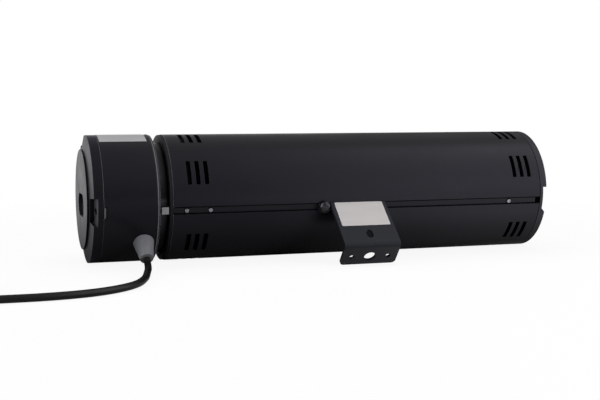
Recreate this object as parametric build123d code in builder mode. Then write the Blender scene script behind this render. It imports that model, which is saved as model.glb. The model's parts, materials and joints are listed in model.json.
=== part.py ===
"""Roller shutter motor: a fixed head with its mains lead, and a drum that turns about it.

The spin axis is X, with the head at low X and the drum's far end at high X. +Z is up and -Y is
the front, where the hanger bracket stands out. The origin is the centre of the head's outer face.
Angles round the axis are measured from +Y towards +Z, in degrees. Lengths are in millimetres.
"""

from build123d import *
from math import acos, cos, pi, radians, sin, tan
import os

os.makedirs("parts", exist_ok=True)

# ---------------------------------------------------------------- driving dimensions
casing_r = 64.0  # outside radius of the head and the drum
casing_wall = 2.2
fit = 0.2  # radial room between pieces that slide together once
seat = 0.02  # room under a bonded plate
running = 0.05  # radial room of a running fit
thread_room = 0.05  # radial room round a screw's shank

# end covers, the same style at both ends
shoulder_w = 14.0  # radial width of the head cover's sloping shoulder
far_shoulder_w = 16.0
boss_h = 2.0
shoulder_l = 3.0
head_rim_l = 9.3
far_rim_l = 7.2
cover_floor_t = 8.5
cover_wall = 2.5
lip_l = 4.0
lip_wall = 2.4
pocket_count = 3
pocket_arc = 25.0
pocket_depth = 4.0
pocket_step = 2.4  # a pocket starts this far outside the boss
cover_screw_inset = 7.5  # from the casing's outside to a cover screw's middle
cover_screw_r = 2.0
cover_screw_l = 26.0
cover_screw_head_r = 3.1
cover_screw_sink = 1.4
post_r = 5.0
support_slot_w = 22.5  # the socket that the wall bracket's tongue enters
support_slot_l = 44.0
support_slot_depth = 4.2
support_slot_drop = 5.5

# head
head_shell_l = 54.1
end_wall_t = 3.0
end_wall_inset = 2.0
bead_w = 1.0
bead_h = 0.3
latch_arc = 9.0
latch_l = 3.4
latch_h = 0.7
label_t = 0.3
label_sheet_t = 0.2
label_margin = 1.2
label_end_margin = 5.4
label_arc = 42.0
label_angle = 94.0

# cable relief and lead
relief_x = 53.8
relief_angle = 218.0
relief_base_r = 10.5
relief_tip_r = 6.5
relief_l = 22.0
relief_neck_r = 6.0
relief_flange_r = 8.2
relief_flange_t = 2.0
cord_r = 3.4

# running gap and neck
gap_l = 9.8
ring_lip_l = 2.8
ring_lip_step = 0.4
ring_spigot_l = 18.0
neck_step = 8.0  # from the casing's outside in to the neck
neck_gap = 1.0
neck_wall = 3.0
neck_flange_t = 4.0
key_w = 7.0
key_l = 6.8
key_inset = 1.2
key_proud = 6.0
key_sunk = 2.0

# drum
shell_l = 401.8
seam_angle = 187.5  # front groove; the rear groove is opposite
groove_w = 7.5
groove_depth = 1.6
rail_arc = 18.0
rail_t = 3.4
hoop_t = 2.8
hoop_w = 12.0
vent_w = 4.5
vent_pitch = 8.6
vent_arc = 22.3
vent_per_group = 3
vent_offsets = (34.0, 80.5, 127.0)  # from the groove, on each half shell
vent_left_inset = 25.5
vent_right_inset = 21.7
plug_l = 8.8
groove_screw_r = 2.0
groove_screw_head_r = 3.2
groove_screw_head_h = 1.1
groove_screw_l = 6.0
left_screw_inset = 13.5
left_hoop_inset = 37.1
right_hoop_inset = 37.5

# hanger bracket
bracket_x = 271.0
bracket_w = 59.0
bracket_t = 3.0
bracket_slope = 40.6
bracket_root_gap = 1.1
bracket_root_drop = 4.3
plate_l = 59.4
bend_r = 5.0
flange_corner_r = 4.0
flange_hole_margin = 10.8  # from the flange's free edge up to its row of holes
flange_bore_r = 6.0
flange_hole_r = 2.75
flange_hole_pitch = 38.4
plate_hole_r = 2.75
plate_hole_row = 44.2
plate_label_w = 51.5
plate_label_l = 32.5
plate_label_inset = 0.6
bar_w = 7.0
bar_l = 71.5
bar_t = 3.0
bolt_inset = 6.0
bolt_head_r = 5.9
bolt_head_h = 4.2
bolt_dome_r = 3.2
bolt_r = 2.5
washer_r = 6.2
washer_t = 0.8

# torque tube and bearings
tube_r = 22.5
tube_bore_r = 18.0
tube_flange_r = 34.0
tube_flange_t = 4.0
tube_screw_pcr = 28.5
tube_screw_count = 4
tube_screw_angle = 45.0
tube_screw_r = 2.0
tube_screw_head_r = 3.5
tube_screw_head_h = 2.6
can_start = 128.0
neck_bearing_w = 15.6
neck_bearing_r = 42.5
neck_ball_count = 12
race_t = 4.45
race_sink = -0.1
far_axle_r = 12.0
far_bearing_w = 12.0
far_bearing_r = 28.0
far_ball_count = 12
far_hub_wall = 5.0
far_ring_l = 10.0
far_ring_wall = 14.0
idler_bore_r = 10.0

# motor
can_l = 172.0
can_r = 46.0
can_wall = 3.0
bell_t = 8.0
bell_spigot_l = 4.0
shaft_r = 7.0
rotor_bearing_r = 14.0
winding_gap = 3.0
stack_inset = 29.0
rotor_r = 23.6
air_gap = 0.4
stator_slots = 12
slot_w = 5.0
slot_depth = 12.0
winding_l = 14.0
winding_room = 0.5
fan_r = 38.0
fan_l = 8.0
fan_inset = 5.0
fan_blades = 8
blade_t = 1.6
brake_disc_r = 34.0
brake_disc_t = 3.0
brake_coil_l = 12.0
brake_gap = 0.5

# gears: two stages, twelve-tooth suns, twenty-four-tooth planets, sixty-tooth rings
gear_module = 1.25
sun_teeth = 12
planet_teeth = 24
ring_teeth = sun_teeth + 2 * planet_teeth
planet_count = 3
pressure = radians(25.0)
backlash = 0.08
addendum = 0.95 * gear_module
dedendum = 1.2 * gear_module
ring_addendum = 0.85 * gear_module
ring_rim = 6.0
gear_face = 14.0
first_ring_hub_l = 8.0
pin_r = 4.0
pilot_r = 4.0
sun_shaft_r = 6.0
carrier_t = 5.6
carrier_r = 30.0
star_plate_t = 5.0
stage_gap = 1.0
gear_gap = 0.4
pin_plate_t = 4.0
ring_flange_w = 8.0
ring_flange_t = 4.0
drive_disc_t = 6.0
drive_screw_r = 2.0
drive_screw_head_r = 3.2
drive_screw_head_h = 2.4
gearbox_screw_count = 6
gearbox_screw_angle = 30.0
gearbox_screw_r = 2.0
gearbox_screw_head_r = 3.0
gearbox_screw_head_h = 2.4

# electronics in the head
board_w = 80.0
board_h = 60.0
board_rise = 8.0
board_t = 1.6
board_gap = 17.8
board_post_r = 3.5
board_post_inset = 6.0
relay_places = (-24.0, -4.0)
relay_rise = 16.0
relay_w = 16.0
relay_h = 20.0
relay_t = 15.0
transformer_y = 22.0
transformer_rise = 12.0
transformer_w = 28.0
transformer_h = 26.0
transformer_t = 22.0
terminal_drop = 18.0
terminal_w = 46.0
terminal_h = 11.0
terminal_t = 12.0
terminal_count = 6
terminal_screw_r = 2.2
terminal_screw_sink = 3.0
capacitor_r = 13.0
capacitor_l = 40.0
capacitor_side = 8.0
capacitor_wall_gap = 6.8
saddle_w = 18.0
saddle_l = 12.0
motor_lead_r = 3.5
motor_lead_drop = 13.0

# ---------------------------------------------------------------- radii that follow the casing
boss_r = casing_r - shoulder_w
far_boss_r = casing_r - far_shoulder_w
cover_screw_pcr = casing_r - cover_screw_inset
neck_r = casing_r - neck_step
groove_floor_r = casing_r - groove_depth
shell_bore = casing_r - casing_wall
nested_r = shell_bore - fit
rail_top_r = nested_r
rail_bottom_r = rail_top_r - rail_t
table_z = -casing_r - bead_h

# ---------------------------------------------------------------- stations along the axis
head_seam = boss_h + shoulder_l + head_rim_l
head_end = head_seam + head_shell_l
end_wall_x = head_end - end_wall_inset
end_wall_inner = end_wall_x - end_wall_t
drum_start = head_end + gap_l
shell_start = drum_start + ring_lip_l
shell_end = shell_start + shell_l
far_face = shell_end + far_rim_l + shoulder_l + boss_h
rear_angle = seam_angle - 180.0
seams = (seam_angle, rear_angle)
groove_half_arc = groove_w / 2 / casing_r * 180 / pi


def direction(angle):
    """The unit direction (y, z) at an angle round the axis."""
    return cos(radians(angle)), sin(radians(angle))


def spot(angle, radius):
    """The (y, z) place at an angle and a radius."""
    across, up = direction(angle)
    return radius * across, radius * up


def save(builder, label):
    """Label a finished piece and write its STEP file."""
    builder.part.label = label
    export_step(builder.part, f"parts/{label}.step")


def tube(start, end, outer_r, inner_r=0.0, centre=(0.0, 0.0), mode=Mode.ADD):
    """Add or cut a round length along X in the part being built."""
    with BuildSketch(Plane.YZ.offset(start)) as section:
        with Locations(centre):
            Circle(outer_r)
            if inner_r:
                Circle(inner_r, mode=Mode.SUBTRACT)
    extrude(section.sketch, amount=end - start, mode=mode)


def turned(points, arc=360.0, middle=0.0, mode=Mode.ADD):
    """Turn an outline of (x, radius) points about the spin axis, wholly or over an arc."""
    across, up = direction(middle - arc / 2)
    with BuildSketch(Plane(origin=(0, 0, 0), x_dir=(1, 0, 0), z_dir=(0, -up, across))) as section:
        with BuildLine():
            Polyline(*points, close=True)
        make_face()
    revolve(section.sketch, axis=Axis.X, revolution_arc=arc, mode=mode)


def band(start, end, inner_r, outer_r, arc=360.0, middle=0.0, mode=Mode.ADD):
    """Add or cut a band of rectangular section about the spin axis."""
    corners = ((start, inner_r), (end, inner_r), (end, outer_r), (start, outer_r))
    turned(corners, arc, middle, mode)


def outward(x, angle, radius):
    """A plane square to the radius at that place, facing away from the axis."""
    across, up = direction(angle)
    return Plane(
        origin=(x, radius * across, radius * up), x_dir=(1, 0, 0), z_dir=(0, across, up)
    )


def spoke(x, angle, start_r, end_r, outer_r, mode=Mode.ADD):
    """Add or cut a round peg that stands along a radius."""
    with BuildSketch(outward(x, angle, start_r)) as section:
        Circle(outer_r)
    extrude(section.sketch, amount=end_r - start_r, mode=mode)


def around(first, count):
    """Evenly spaced angles round the axis."""
    return [first + 360.0 / count * index for index in range(count)]


# ---------------------------------------------------------------- end covers
cover_screw_angles = around(seam_angle, pocket_count)
cover_screw_holes = [spot(angle, cover_screw_pcr) for angle in cover_screw_angles]
post_end = head_seam + lip_l + fit
tube_screw_places = [
    spot(angle, tube_screw_pcr) for angle in around(tube_screw_angle, tube_screw_count)
]


def shoulder_x(boss, radius):
    """How far in from a cover's face its sloping shoulder lies at a radius."""
    return boss_h + (radius - boss) * shoulder_l / (casing_r - boss)


def cover_outline(rim_l, boss):
    """Outline of an end cover as (x, radius) points, its outer face at x = 0."""
    seam = boss_h + shoulder_l + rim_l
    floor_r = nested_r - lip_wall
    wall_x = pocket_depth + cover_wall
    floor_t = min(cover_floor_t, boss_h + wall_x)
    return (
        (0, 0),
        (0, boss),
        (boss_h, boss),
        (boss_h + shoulder_l, casing_r),
        (seam, casing_r),
        (seam, nested_r),
        (seam + lip_l, nested_r),
        (seam + lip_l, floor_r),
        (wall_x + shoulder_x(boss, floor_r), floor_r),
        (wall_x + boss_h, boss),
        (floor_t, boss - cover_wall),
        (floor_t, 0),
    )


def cut_pockets(face, inward, boss):
    """Cut the screw pockets into a cover's shoulder, their floors level with its slope."""
    top = casing_r + bead_h
    foot = boss + pocket_step
    outline = (
        (-boss_h, foot),
        (pocket_depth + shoulder_x(boss, foot), foot),
        (pocket_depth + shoulder_x(boss, top), top),
        (-boss_h, top),
    )
    for angle in cover_screw_angles:
        corners = [(face + inward * x, radius) for x, radius in outline]
        turned(corners, pocket_arc, angle, Mode.SUBTRACT)


def screw_seat_x(boss):
    """How far in from a cover's face its screws' heads are seated."""
    return pocket_depth + cover_screw_sink + shoulder_x(boss, cover_screw_pcr)


screw_seat = screw_seat_x(boss_r)

with BuildPart() as head_end_cover:
    turned(cover_outline(head_rim_l, boss_r))
    cut_pockets(0.0, 1, boss_r)
    for hole in cover_screw_holes:
        tube(screw_seat, post_end - fit, post_r - fit, centre=hole)
    for hole in cover_screw_holes:
        tube(boss_h, screw_seat, cover_screw_head_r + fit, centre=hole, mode=Mode.SUBTRACT)
        tube(0, post_end, cover_screw_r + thread_room, centre=hole, mode=Mode.SUBTRACT)
    for angle in cover_screw_angles:
        band(head_seam, head_seam + latch_l, nested_r - fit, casing_r + latch_h, latch_arc, angle)
    with BuildSketch(Plane.YZ) as socket:
        with Locations((0, -support_slot_drop)):
            SlotOverall(support_slot_l, support_slot_w)
    extrude(amount=support_slot_depth, mode=Mode.SUBTRACT)
save(head_end_cover, "head_end_cover")

with BuildPart() as head_cover_screws:
    for hole in cover_screw_holes:
        tube(screw_seat - cover_screw_sink, screw_seat, cover_screw_head_r, centre=hole)
        tube(screw_seat, screw_seat + cover_screw_l, cover_screw_r, centre=hole)
save(head_cover_screws, "head_cover_screws")

# ---------------------------------------------------------------- head shell
post_y = board_w / 2 - board_post_inset
post_z = board_h / 2 - board_post_inset
board_posts = [(y, z + board_rise) for y in (-post_y, post_y) for z in (-post_z, post_z)]
board_x = end_wall_inner - board_gap
rim_r = casing_r - ring_lip_step

with BuildPart() as head_shell:
    band(head_seam, end_wall_x, shell_bore, casing_r)
    band(end_wall_x, head_end, shell_bore, rim_r)
    band(end_wall_inner, end_wall_x, tube_r + fit, casing_r)
    band(end_wall_x - bead_w, end_wall_x, shell_bore, casing_r + bead_h)
    for hole in cover_screw_holes:
        tube(post_end, end_wall_inner, post_r, centre=hole)
    for post in board_posts:
        tube(board_x + board_t, end_wall_inner, board_post_r, centre=post)
    for hole in cover_screw_holes:
        tube(post_end, post_end + cover_screw_l, cover_screw_r + thread_room, 0, hole, Mode.SUBTRACT)
    for angle in cover_screw_angles:
        band(
            head_seam - fit,
            head_seam + latch_l + fit,
            shell_bore - fit,
            casing_r + fit,
            latch_arc + 1,
            angle,
            Mode.SUBTRACT,
        )
    for screw in tube_screw_places:
        tube(end_wall_inner, end_wall_x, tube_screw_r + thread_room, 0, screw, Mode.SUBTRACT)
    spoke(relief_x, relief_angle, neck_r, casing_r + fit, relief_neck_r + fit, Mode.SUBTRACT)
save(head_shell, "head_shell")

with BuildPart() as rating_label:
    band(
        head_seam + label_margin,
        end_wall_x - label_end_margin + bead_w,
        casing_r + label_t - label_sheet_t,
        casing_r + label_t,
        label_arc,
        label_angle,
    )
save(rating_label, "rating_label")

with BuildPart() as cable_relief:
    relief_base = outward(relief_x, relief_angle, shell_bore)
    with BuildSketch(relief_base):
        Circle(relief_base_r)
    with BuildSketch(outward(relief_x, relief_angle, casing_r + relief_l)):
        Circle(relief_tip_r)
    loft()
    band(0, head_end, 0, casing_r + seat, mode=Mode.SUBTRACT)
    spoke(relief_x, relief_angle, neck_r, casing_r + 1, relief_neck_r)
    spoke(relief_x, relief_angle, neck_r, neck_r + relief_flange_t, relief_flange_r)
save(cable_relief, "cable_relief")

# ---------------------------------------------------------------- mains lead
relief_tip_y, relief_tip_z = spot(relief_angle, casing_r + relief_l + fit)
floor_z = table_z + cord_r
lead_route = (
    (relief_x, relief_tip_y, relief_tip_z),
    (53.8, -77.7, floor_z),
    (48.8, -99.0, floor_z),
    (41.0, -136.0, floor_z),
    (26.0, -170.0, floor_z),
    (-6.0, -194.0, floor_z),
    (-46.0, -203.0, floor_z),
    (-90.0, -202.5, floor_z),
    (-132.0, -199.8, floor_z),
)
coil_centre = (-142.0, -155.0)
coil_mid_r = 38.0
coil_across = 3
coil_layers = 2
tail_route = (
    (-186.8, -155.0, floor_z + 2 * cord_r),
    (-187.6, -138.0, floor_z + 6.0),
    (-185.0, -114.0, floor_z + 0.8),
    (-178.0, -92.0, floor_z + 1.0),
    (-168.0, -74.0, floor_z + 3.1),
)
connector_l = 34.0
connector_w = 17.0
connector_h = 13.0
pin_count = 3
pin_pitch = 4.6
blade_l = 6.0
share = 0.45  # of the shorter run that an arc's tangent takes


def bend_radii(route):
    """One radius for each corner of a route, as large as its two runs allow."""
    radii = []
    for before, corner, after in zip(route, route[1:], route[2:]):
        first = Vector(*corner) - Vector(*before)
        second = Vector(*after) - Vector(*corner)
        turn = radians(first.get_angle(second))
        radii.append(share * min(first.length, second.length) / tan(turn / 2))
    print("bend radii", [round(radius, 1) for radius in radii])
    return radii


def lead_plane(route):
    """The plane of a lead's section at the start of its route."""
    return Plane(origin=route[0], z_dir=Vector(*route[1]) - Vector(*route[0]))


with BuildPart() as mains_cord:
    with BuildLine() as lead_line:
        FilletPolyline(*lead_route, radius=bend_radii(lead_route))
    with BuildSketch(lead_plane(lead_route)):
        Circle(cord_r)
    sweep(path=lead_line.line)
save(mains_cord, "mains_cord")
print("lead", lead_line.wire().length, mains_cord.part.volume / (pi * cord_r**2))

with BuildPart() as cord_tail:
    with BuildLine() as tail_line:
        FilletPolyline(*tail_route, radius=bend_radii(tail_route))
    with BuildSketch(lead_plane(tail_route)):
        Circle(cord_r)
    sweep(path=tail_line.line)
save(cord_tail, "cord_tail")
print("tail", tail_line.wire().length, cord_tail.part.volume / (pi * cord_r**2))

with BuildPart() as cord_coil:
    with BuildSketch(Plane.XZ.offset(-coil_centre[1])):
        with Locations((coil_centre[0] + coil_mid_r, table_z + coil_layers * cord_r)):
            RectangleRounded(2 * coil_across * cord_r, 2 * coil_layers * cord_r, cord_r)
    revolve(axis=Axis((*coil_centre, 0), (0, 0, 1)))
save(cord_coil, "cord_coil")

with BuildPart() as cord_connector:
    tail_end = Vector(*tail_route[-1])
    tail_run = tail_end - Vector(*tail_route[-2])
    connector_plane = Plane(
        origin=(tail_end.X, tail_end.Y, table_z + connector_h / 2),
        x_dir=(tail_run.Y, -tail_run.X, 0),
        z_dir=(tail_run.X, tail_run.Y, 0),
    )
    with BuildSketch(connector_plane):
        RectangleRounded(connector_w, connector_h, connector_h / 4)
    extrude(amount=connector_l)
    with BuildSketch(connector_plane.offset(connector_l)):
        RectangleRounded(connector_w - 2, connector_h - 2, connector_h / 5)
    extrude(amount=-blade_l - 2, mode=Mode.SUBTRACT)
    with BuildSketch(connector_plane.offset(connector_l - blade_l - 2)):
        with GridLocations(pin_pitch, 0, pin_count, 1):
            Circle(1.0)
    extrude(amount=blade_l)
save(cord_connector, "cord_connector")

# ---------------------------------------------------------------- electronics
with BuildPart() as control_board:
    with BuildSketch(Plane.YZ.offset(board_x)):
        with Locations((0, board_rise)):
            Rectangle(board_w, board_h)
    extrude(amount=board_t)
save(control_board, "control_board")


def board_block(y, z, width, height, depth):
    """Add a block that stands on the board's front face."""
    with BuildSketch(Plane.YZ.offset(board_x)) as section:
        with Locations((y, z + board_rise)):
            Rectangle(width, height)
    extrude(section.sketch, amount=-depth)


with BuildPart() as board_parts:
    for y in relay_places:
        board_block(y, relay_rise, relay_w, relay_h, relay_t)
    board_block(transformer_y, transformer_rise, transformer_w, transformer_h, transformer_t)
save(board_parts, "board_parts")

with BuildPart() as terminal_block:
    board_block(0.0, -terminal_drop, terminal_w, terminal_h, terminal_t)
    with BuildSketch(Plane.YZ.offset(board_x - terminal_t)):
        with Locations((0, board_rise - terminal_drop)):
            with GridLocations(terminal_w / terminal_count, 0, terminal_count, 1):
                Circle(terminal_screw_r)
    extrude(amount=terminal_screw_sink, mode=Mode.SUBTRACT)
save(terminal_block, "terminal_block")

capacitor_end = end_wall_inner - tube_flange_t - stage_gap
capacitor_place = (-capacitor_side, capacitor_r + capacitor_wall_gap - shell_bore)
with BuildPart() as run_capacitor:
    tube(capacitor_end - capacitor_l, capacitor_end, capacitor_r, centre=capacitor_place)
save(run_capacitor, "run_capacitor")

with BuildPart() as capacitor_saddle:
    with BuildSketch(Plane.YZ.offset(capacitor_end - saddle_l)):
        with Locations((capacitor_place[0], (capacitor_place[1] - shell_bore) / 2)):
            Rectangle(saddle_w, shell_bore + capacitor_place[1])
    extrude(amount=saddle_l)
    tube(0, head_end, capacitor_r + seat, centre=capacitor_place, mode=Mode.SUBTRACT)
    tube(0, head_end, nested_r, mode=Mode.INTERSECT)
save(capacitor_saddle, "capacitor_saddle")

# ---------------------------------------------------------------- torque tube
tube_flange_x = end_wall_inner - tube_flange_t
bell_flange_x = can_start - tube_flange_t
with BuildPart() as torque_tube:
    band(tube_flange_x, can_start, tube_bore_r, tube_r)
    band(tube_flange_x, end_wall_inner, tube_bore_r, tube_flange_r)
    band(bell_flange_x, can_start, tube_bore_r, tube_flange_r)
    for screw in tube_screw_places:
        tube(tube_flange_x, can_start, tube_screw_r + thread_room, 0, screw, Mode.SUBTRACT)
save(torque_tube, "torque_tube")

with BuildPart() as tube_screws:
    for screw in tube_screw_places:
        for face, reach in ((tube_flange_x, end_wall_t), (bell_flange_x, bell_t / 2)):
            tube(face - tube_screw_head_h, face, tube_screw_head_r, centre=screw)
            tube(face, face + tube_flange_t + reach, tube_screw_r, centre=screw)
save(tube_screws, "tube_screws")

with BuildPart() as motor_lead:
    tube(board_x + board_t, can_start, motor_lead_r, centre=(0, -motor_lead_drop))
save(motor_lead, "motor_lead")

# ---------------------------------------------------------------- neck of the drum
neck_start = end_wall_x + neck_gap
ring_end = shell_start + ring_spigot_l
neck_flange_x = ring_end + fit
neck_end = neck_flange_x + neck_flange_t
bearing_x = neck_end - neck_bearing_w - fit
bearing_shoulder_r = neck_bearing_r - race_t
key_x = drum_start - key_inset - key_l
key_bottom_r = neck_r - key_sunk


def key_slot(room, bottom_r, top_r, mode):
    """Add the drive key, or cut its slot with some room."""
    with BuildSketch(outward(key_x + key_l / 2, seam_angle, bottom_r)) as section:
        Rectangle(key_l + 2 * room, key_w + 2 * room)
    extrude(section.sketch, amount=top_r - bottom_r, mode=mode)


with BuildPart() as neck_collar:
    turned(
        (
            (neck_start, tube_r + 2),
            (neck_start, neck_r),
            (neck_flange_x, neck_r),
            (neck_flange_x, nested_r),
            (neck_end, nested_r),
            (neck_end, neck_bearing_r + running),
            (bearing_x, neck_bearing_r + running),
            (bearing_x, bearing_shoulder_r),
            (neck_start + neck_wall, bearing_shoulder_r),
            (neck_start + neck_wall, tube_r + 2),
        )
    )
    key_slot(seat, key_bottom_r - seat, casing_r, Mode.SUBTRACT)
save(neck_collar, "neck_collar")

with BuildPart() as drive_key:
    key_slot(0.0, key_bottom_r, neck_r + key_proud, Mode.ADD)
save(drive_key, "drive_key")

with BuildPart() as drum_left_ring:
    band(drum_start, shell_start, neck_r + fit, rim_r)
    band(shell_start, ring_end, neck_r + fit, nested_r)
    for angle in seams:
        hole_x = shell_start + left_screw_inset
        spoke(hole_x, angle, neck_r, casing_r, groove_screw_r + thread_room, Mode.SUBTRACT)
save(drum_left_ring, "drum_left_ring")

# ---------------------------------------------------------------- drum shells and grooves
left_hoop_x = shell_start + left_hoop_inset
right_hoop_x = shell_end - right_hoop_inset
rail_start = neck_end + fit
far_lip_x = shell_end - lip_l
far_ring_x = far_lip_x - far_ring_l
rail_end = far_ring_x - fit
plug_x = shell_end - plug_l
screw_stations = (shell_start + left_screw_inset, left_hoop_x, right_hoop_x)
bar_end = bracket_x + bracket_w / 2
bar_start = bar_end - bar_l
bolt_x = bar_start + bolt_inset


def vent_places():
    """X of each vent slot's middle, left group and right group."""
    reach = (vent_per_group - 1) / 2
    for middle in (shell_start + vent_left_inset, shell_end - vent_right_inset):
        for index in range(vent_per_group):
            yield middle + (index - reach) * vent_pitch


def half_shell(side):
    """A half shell between the two grooves: side -1 is the upper one, +1 the lower one."""
    arc = 180.0 - 2 * groove_half_arc
    band(shell_start, shell_end, shell_bore, casing_r, arc, seam_angle + side * 90.0)
    for x in vent_places():
        for offset in vent_offsets:
            middle = seam_angle + side * offset
            low, high = x - vent_w / 2, x + vent_w / 2
            band(low, high, shell_bore - 1, casing_r + 1, vent_arc, middle, Mode.SUBTRACT)


with BuildPart() as drum_upper_shell:
    half_shell(-1)
save(drum_upper_shell, "drum_upper_shell")

with BuildPart() as drum_lower_shell:
    half_shell(1)
save(drum_lower_shell, "drum_lower_shell")

strip_arc = 2 * groove_half_arc - 0.5


def groove_rail(angle):
    """A rail under a groove: a wide foot under both shells and a narrow floor strip."""
    band(shell_start, plug_x, shell_bore - fit / 2, groove_floor_r, strip_arc, angle)
    band(rail_start, rail_end, rail_bottom_r, groove_floor_r, strip_arc, angle)
    band(rail_start, rail_end, rail_bottom_r, rail_top_r, rail_arc, angle)
    for x in screw_stations:
        hole_r = groove_screw_r + thread_room
        spoke(x, angle, rail_bottom_r - 1, casing_r, hole_r, Mode.SUBTRACT)


with BuildPart() as front_rail:
    groove_rail(seam_angle)
    spoke(bolt_x, seam_angle, rail_bottom_r - 1, casing_r, bolt_r + thread_room, Mode.SUBTRACT)
save(front_rail, "front_rail")

with BuildPart() as rear_rail:
    groove_rail(rear_angle)
save(rear_rail, "rear_rail")

with BuildPart() as groove_screws:
    for angle in seams:
        for x in screw_stations:
            low_r = groove_floor_r - groove_screw_l
            spoke(x, angle, low_r, groove_floor_r, groove_screw_r)
            top_r = groove_floor_r + groove_screw_head_h
            spoke(x, angle, groove_floor_r, top_r, groove_screw_head_r)
save(groove_screws, "groove_screws")

with BuildPart() as groove_end_plugs:
    for angle in seams:
        band(plug_x, shell_end, shell_bore - fit / 2, casing_r - fit, strip_arc, angle)
save(groove_end_plugs, "groove_end_plugs")

with BuildPart() as drum_hoops:
    for x in (left_hoop_x, right_hoop_x):
        hoop_r = rail_bottom_r - seat
        band(x - hoop_w / 2, x + hoop_w / 2, hoop_r - hoop_t, hoop_r)
        for angle in seams:
            hole_r = groove_screw_r + thread_room
            spoke(x, angle, hoop_r - hoop_t - 1, casing_r, hole_r, Mode.SUBTRACT)
save(drum_hoops, "drum_hoops")

# ---------------------------------------------------------------- far end of the drum
far_hub_inner_r = far_bearing_r + running
far_inner_x = far_face - cover_floor_t
far_bearing_x = far_inner_x - 2 * far_bearing_w
far_axle_end = far_bearing_x + far_bearing_w + stage_gap

with BuildPart() as drum_end_cover:
    turned([(far_face - x, radius) for x, radius in cover_outline(far_rim_l, far_boss_r)])
    cut_pockets(far_face, -1, far_boss_r)
    band(far_bearing_x, far_inner_x, far_hub_inner_r, far_hub_inner_r + far_hub_wall)
    tube(far_inner_x, far_face, idler_bore_r, mode=Mode.SUBTRACT)
    far_seat = far_face - screw_seat_x(far_boss_r)
    for hole in cover_screw_holes:
        tube(far_seat, far_face, cover_screw_head_r + fit, centre=hole, mode=Mode.SUBTRACT)
        tube(far_inner_x - lip_l, far_face, cover_screw_r + thread_room, 0, hole, Mode.SUBTRACT)
save(drum_end_cover, "drum_end_cover")

with BuildPart() as far_ring:
    band(far_ring_x, far_lip_x - fit, nested_r - far_ring_wall, nested_r)
    for hole in cover_screw_holes:
        tube(far_ring_x, far_lip_x, cover_screw_r + thread_room, centre=hole, mode=Mode.SUBTRACT)
save(far_ring, "far_ring")

with BuildPart() as drum_cover_screws:
    for hole in cover_screw_holes:
        tube(far_seat, far_seat + cover_screw_sink, cover_screw_head_r, centre=hole)
        tube(far_ring_x + stage_gap, far_seat, cover_screw_r, centre=hole)
save(drum_cover_screws, "drum_cover_screws")

bearings = (
    (bearing_x, neck_bearing_w, tube_r, neck_bearing_r, neck_ball_count),
    (far_bearing_x, far_bearing_w, far_axle_r, far_bearing_r, far_ball_count),
)

with BuildPart() as bearing_inner_races:
    for x, width, inner_r, _, _ in bearings:
        band(x, x + width, inner_r + seat, inner_r + race_t)
save(bearing_inner_races, "bearing_inner_races")

with BuildPart() as bearing_outer_races:
    for x, width, inner_r, outer_r, count in bearings:
        band(x, x + width, outer_r - race_t, outer_r)
        ball_r = (outer_r - inner_r) / 2 - race_t + race_sink
        pitch_r = outer_r - race_t - ball_r + 2 * race_sink
        with Locations(*[(x + width / 2, *spot(angle, pitch_r)) for angle in around(0.0, count)]):
            Sphere(ball_r)
save(bearing_outer_races, "bearing_outer_races")

# ---------------------------------------------------------------- hanger bracket
slope_y = -cos(radians(bracket_slope))
slope_z = -sin(radians(bracket_slope))
root_y = -casing_r - bracket_root_gap
root_z = -bracket_root_drop
plate_plane = Plane(
    origin=(bracket_x, root_y, root_z), x_dir=(1, 0, 0), z_dir=(0, slope_z, -slope_y)
)
bend_y = root_y + slope_y * plate_l
bend_z = root_z + slope_z * plate_l
flange_l = (bend_z - table_z) / -slope_y
flange_plane = Plane(
    origin=(bracket_x, bend_y, bend_z), x_dir=(1, 0, 0), z_dir=(0, slope_y, slope_z)
)


def bracket_point(along, down):
    """A (y, z) point of the bracket's section, along the plate and down the flange."""
    return root_y + along * slope_y - down * slope_z, root_z + along * slope_z + down * slope_y


with BuildPart() as hanger_bracket:
    inside = plate_l - bracket_t
    with BuildSketch(Plane.YZ.offset(bracket_x - bracket_w / 2)) as sheet:
        with BuildLine():
            Polyline(
                bracket_point(0, 0),
                bracket_point(plate_l, 0),
                bracket_point(plate_l, flange_l),
                bracket_point(inside, flange_l),
                bracket_point(inside, bracket_t),
                bracket_point(0, bracket_t),
                close=True,
            )
        make_face()
        fillet(sheet.vertices().sort_by_distance((*bracket_point(plate_l, 0), 0))[0], bend_r)
        inner_corner = (*bracket_point(inside, bracket_t), 0)
        fillet(sheet.vertices().sort_by_distance(inner_corner)[0], bend_r - bracket_t)
    extrude(amount=bracket_w)
    across_sheet = Axis((0, 0, 0), (0, slope_y, slope_z))
    fillet(hanger_bracket.edges().filter_by(across_sheet).group_by(Axis.Z)[0], flange_corner_r)
    with BuildSketch(flange_plane):
        with Locations((0, flange_hole_margin - flange_l)):
            Circle(flange_bore_r)
            with GridLocations(flange_hole_pitch, 0, 2, 1):
                Circle(flange_hole_r)
    extrude(amount=-2 * bracket_t, mode=Mode.SUBTRACT)
    with BuildSketch(plate_plane):
        with Locations((0, -plate_hole_row)):
            Circle(plate_hole_r)
    extrude(amount=-bracket_t, mode=Mode.SUBTRACT)
    with BuildSketch(outward((bar_start + bar_end) / 2, seam_angle, groove_floor_r + fit)):
        Rectangle(bar_l, bar_w)
    extrude(amount=bar_t)
    spoke(bolt_x, seam_angle, groove_floor_r, casing_r + bar_t, bolt_r + thread_room, Mode.SUBTRACT)
save(hanger_bracket, "hanger_bracket")

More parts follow.
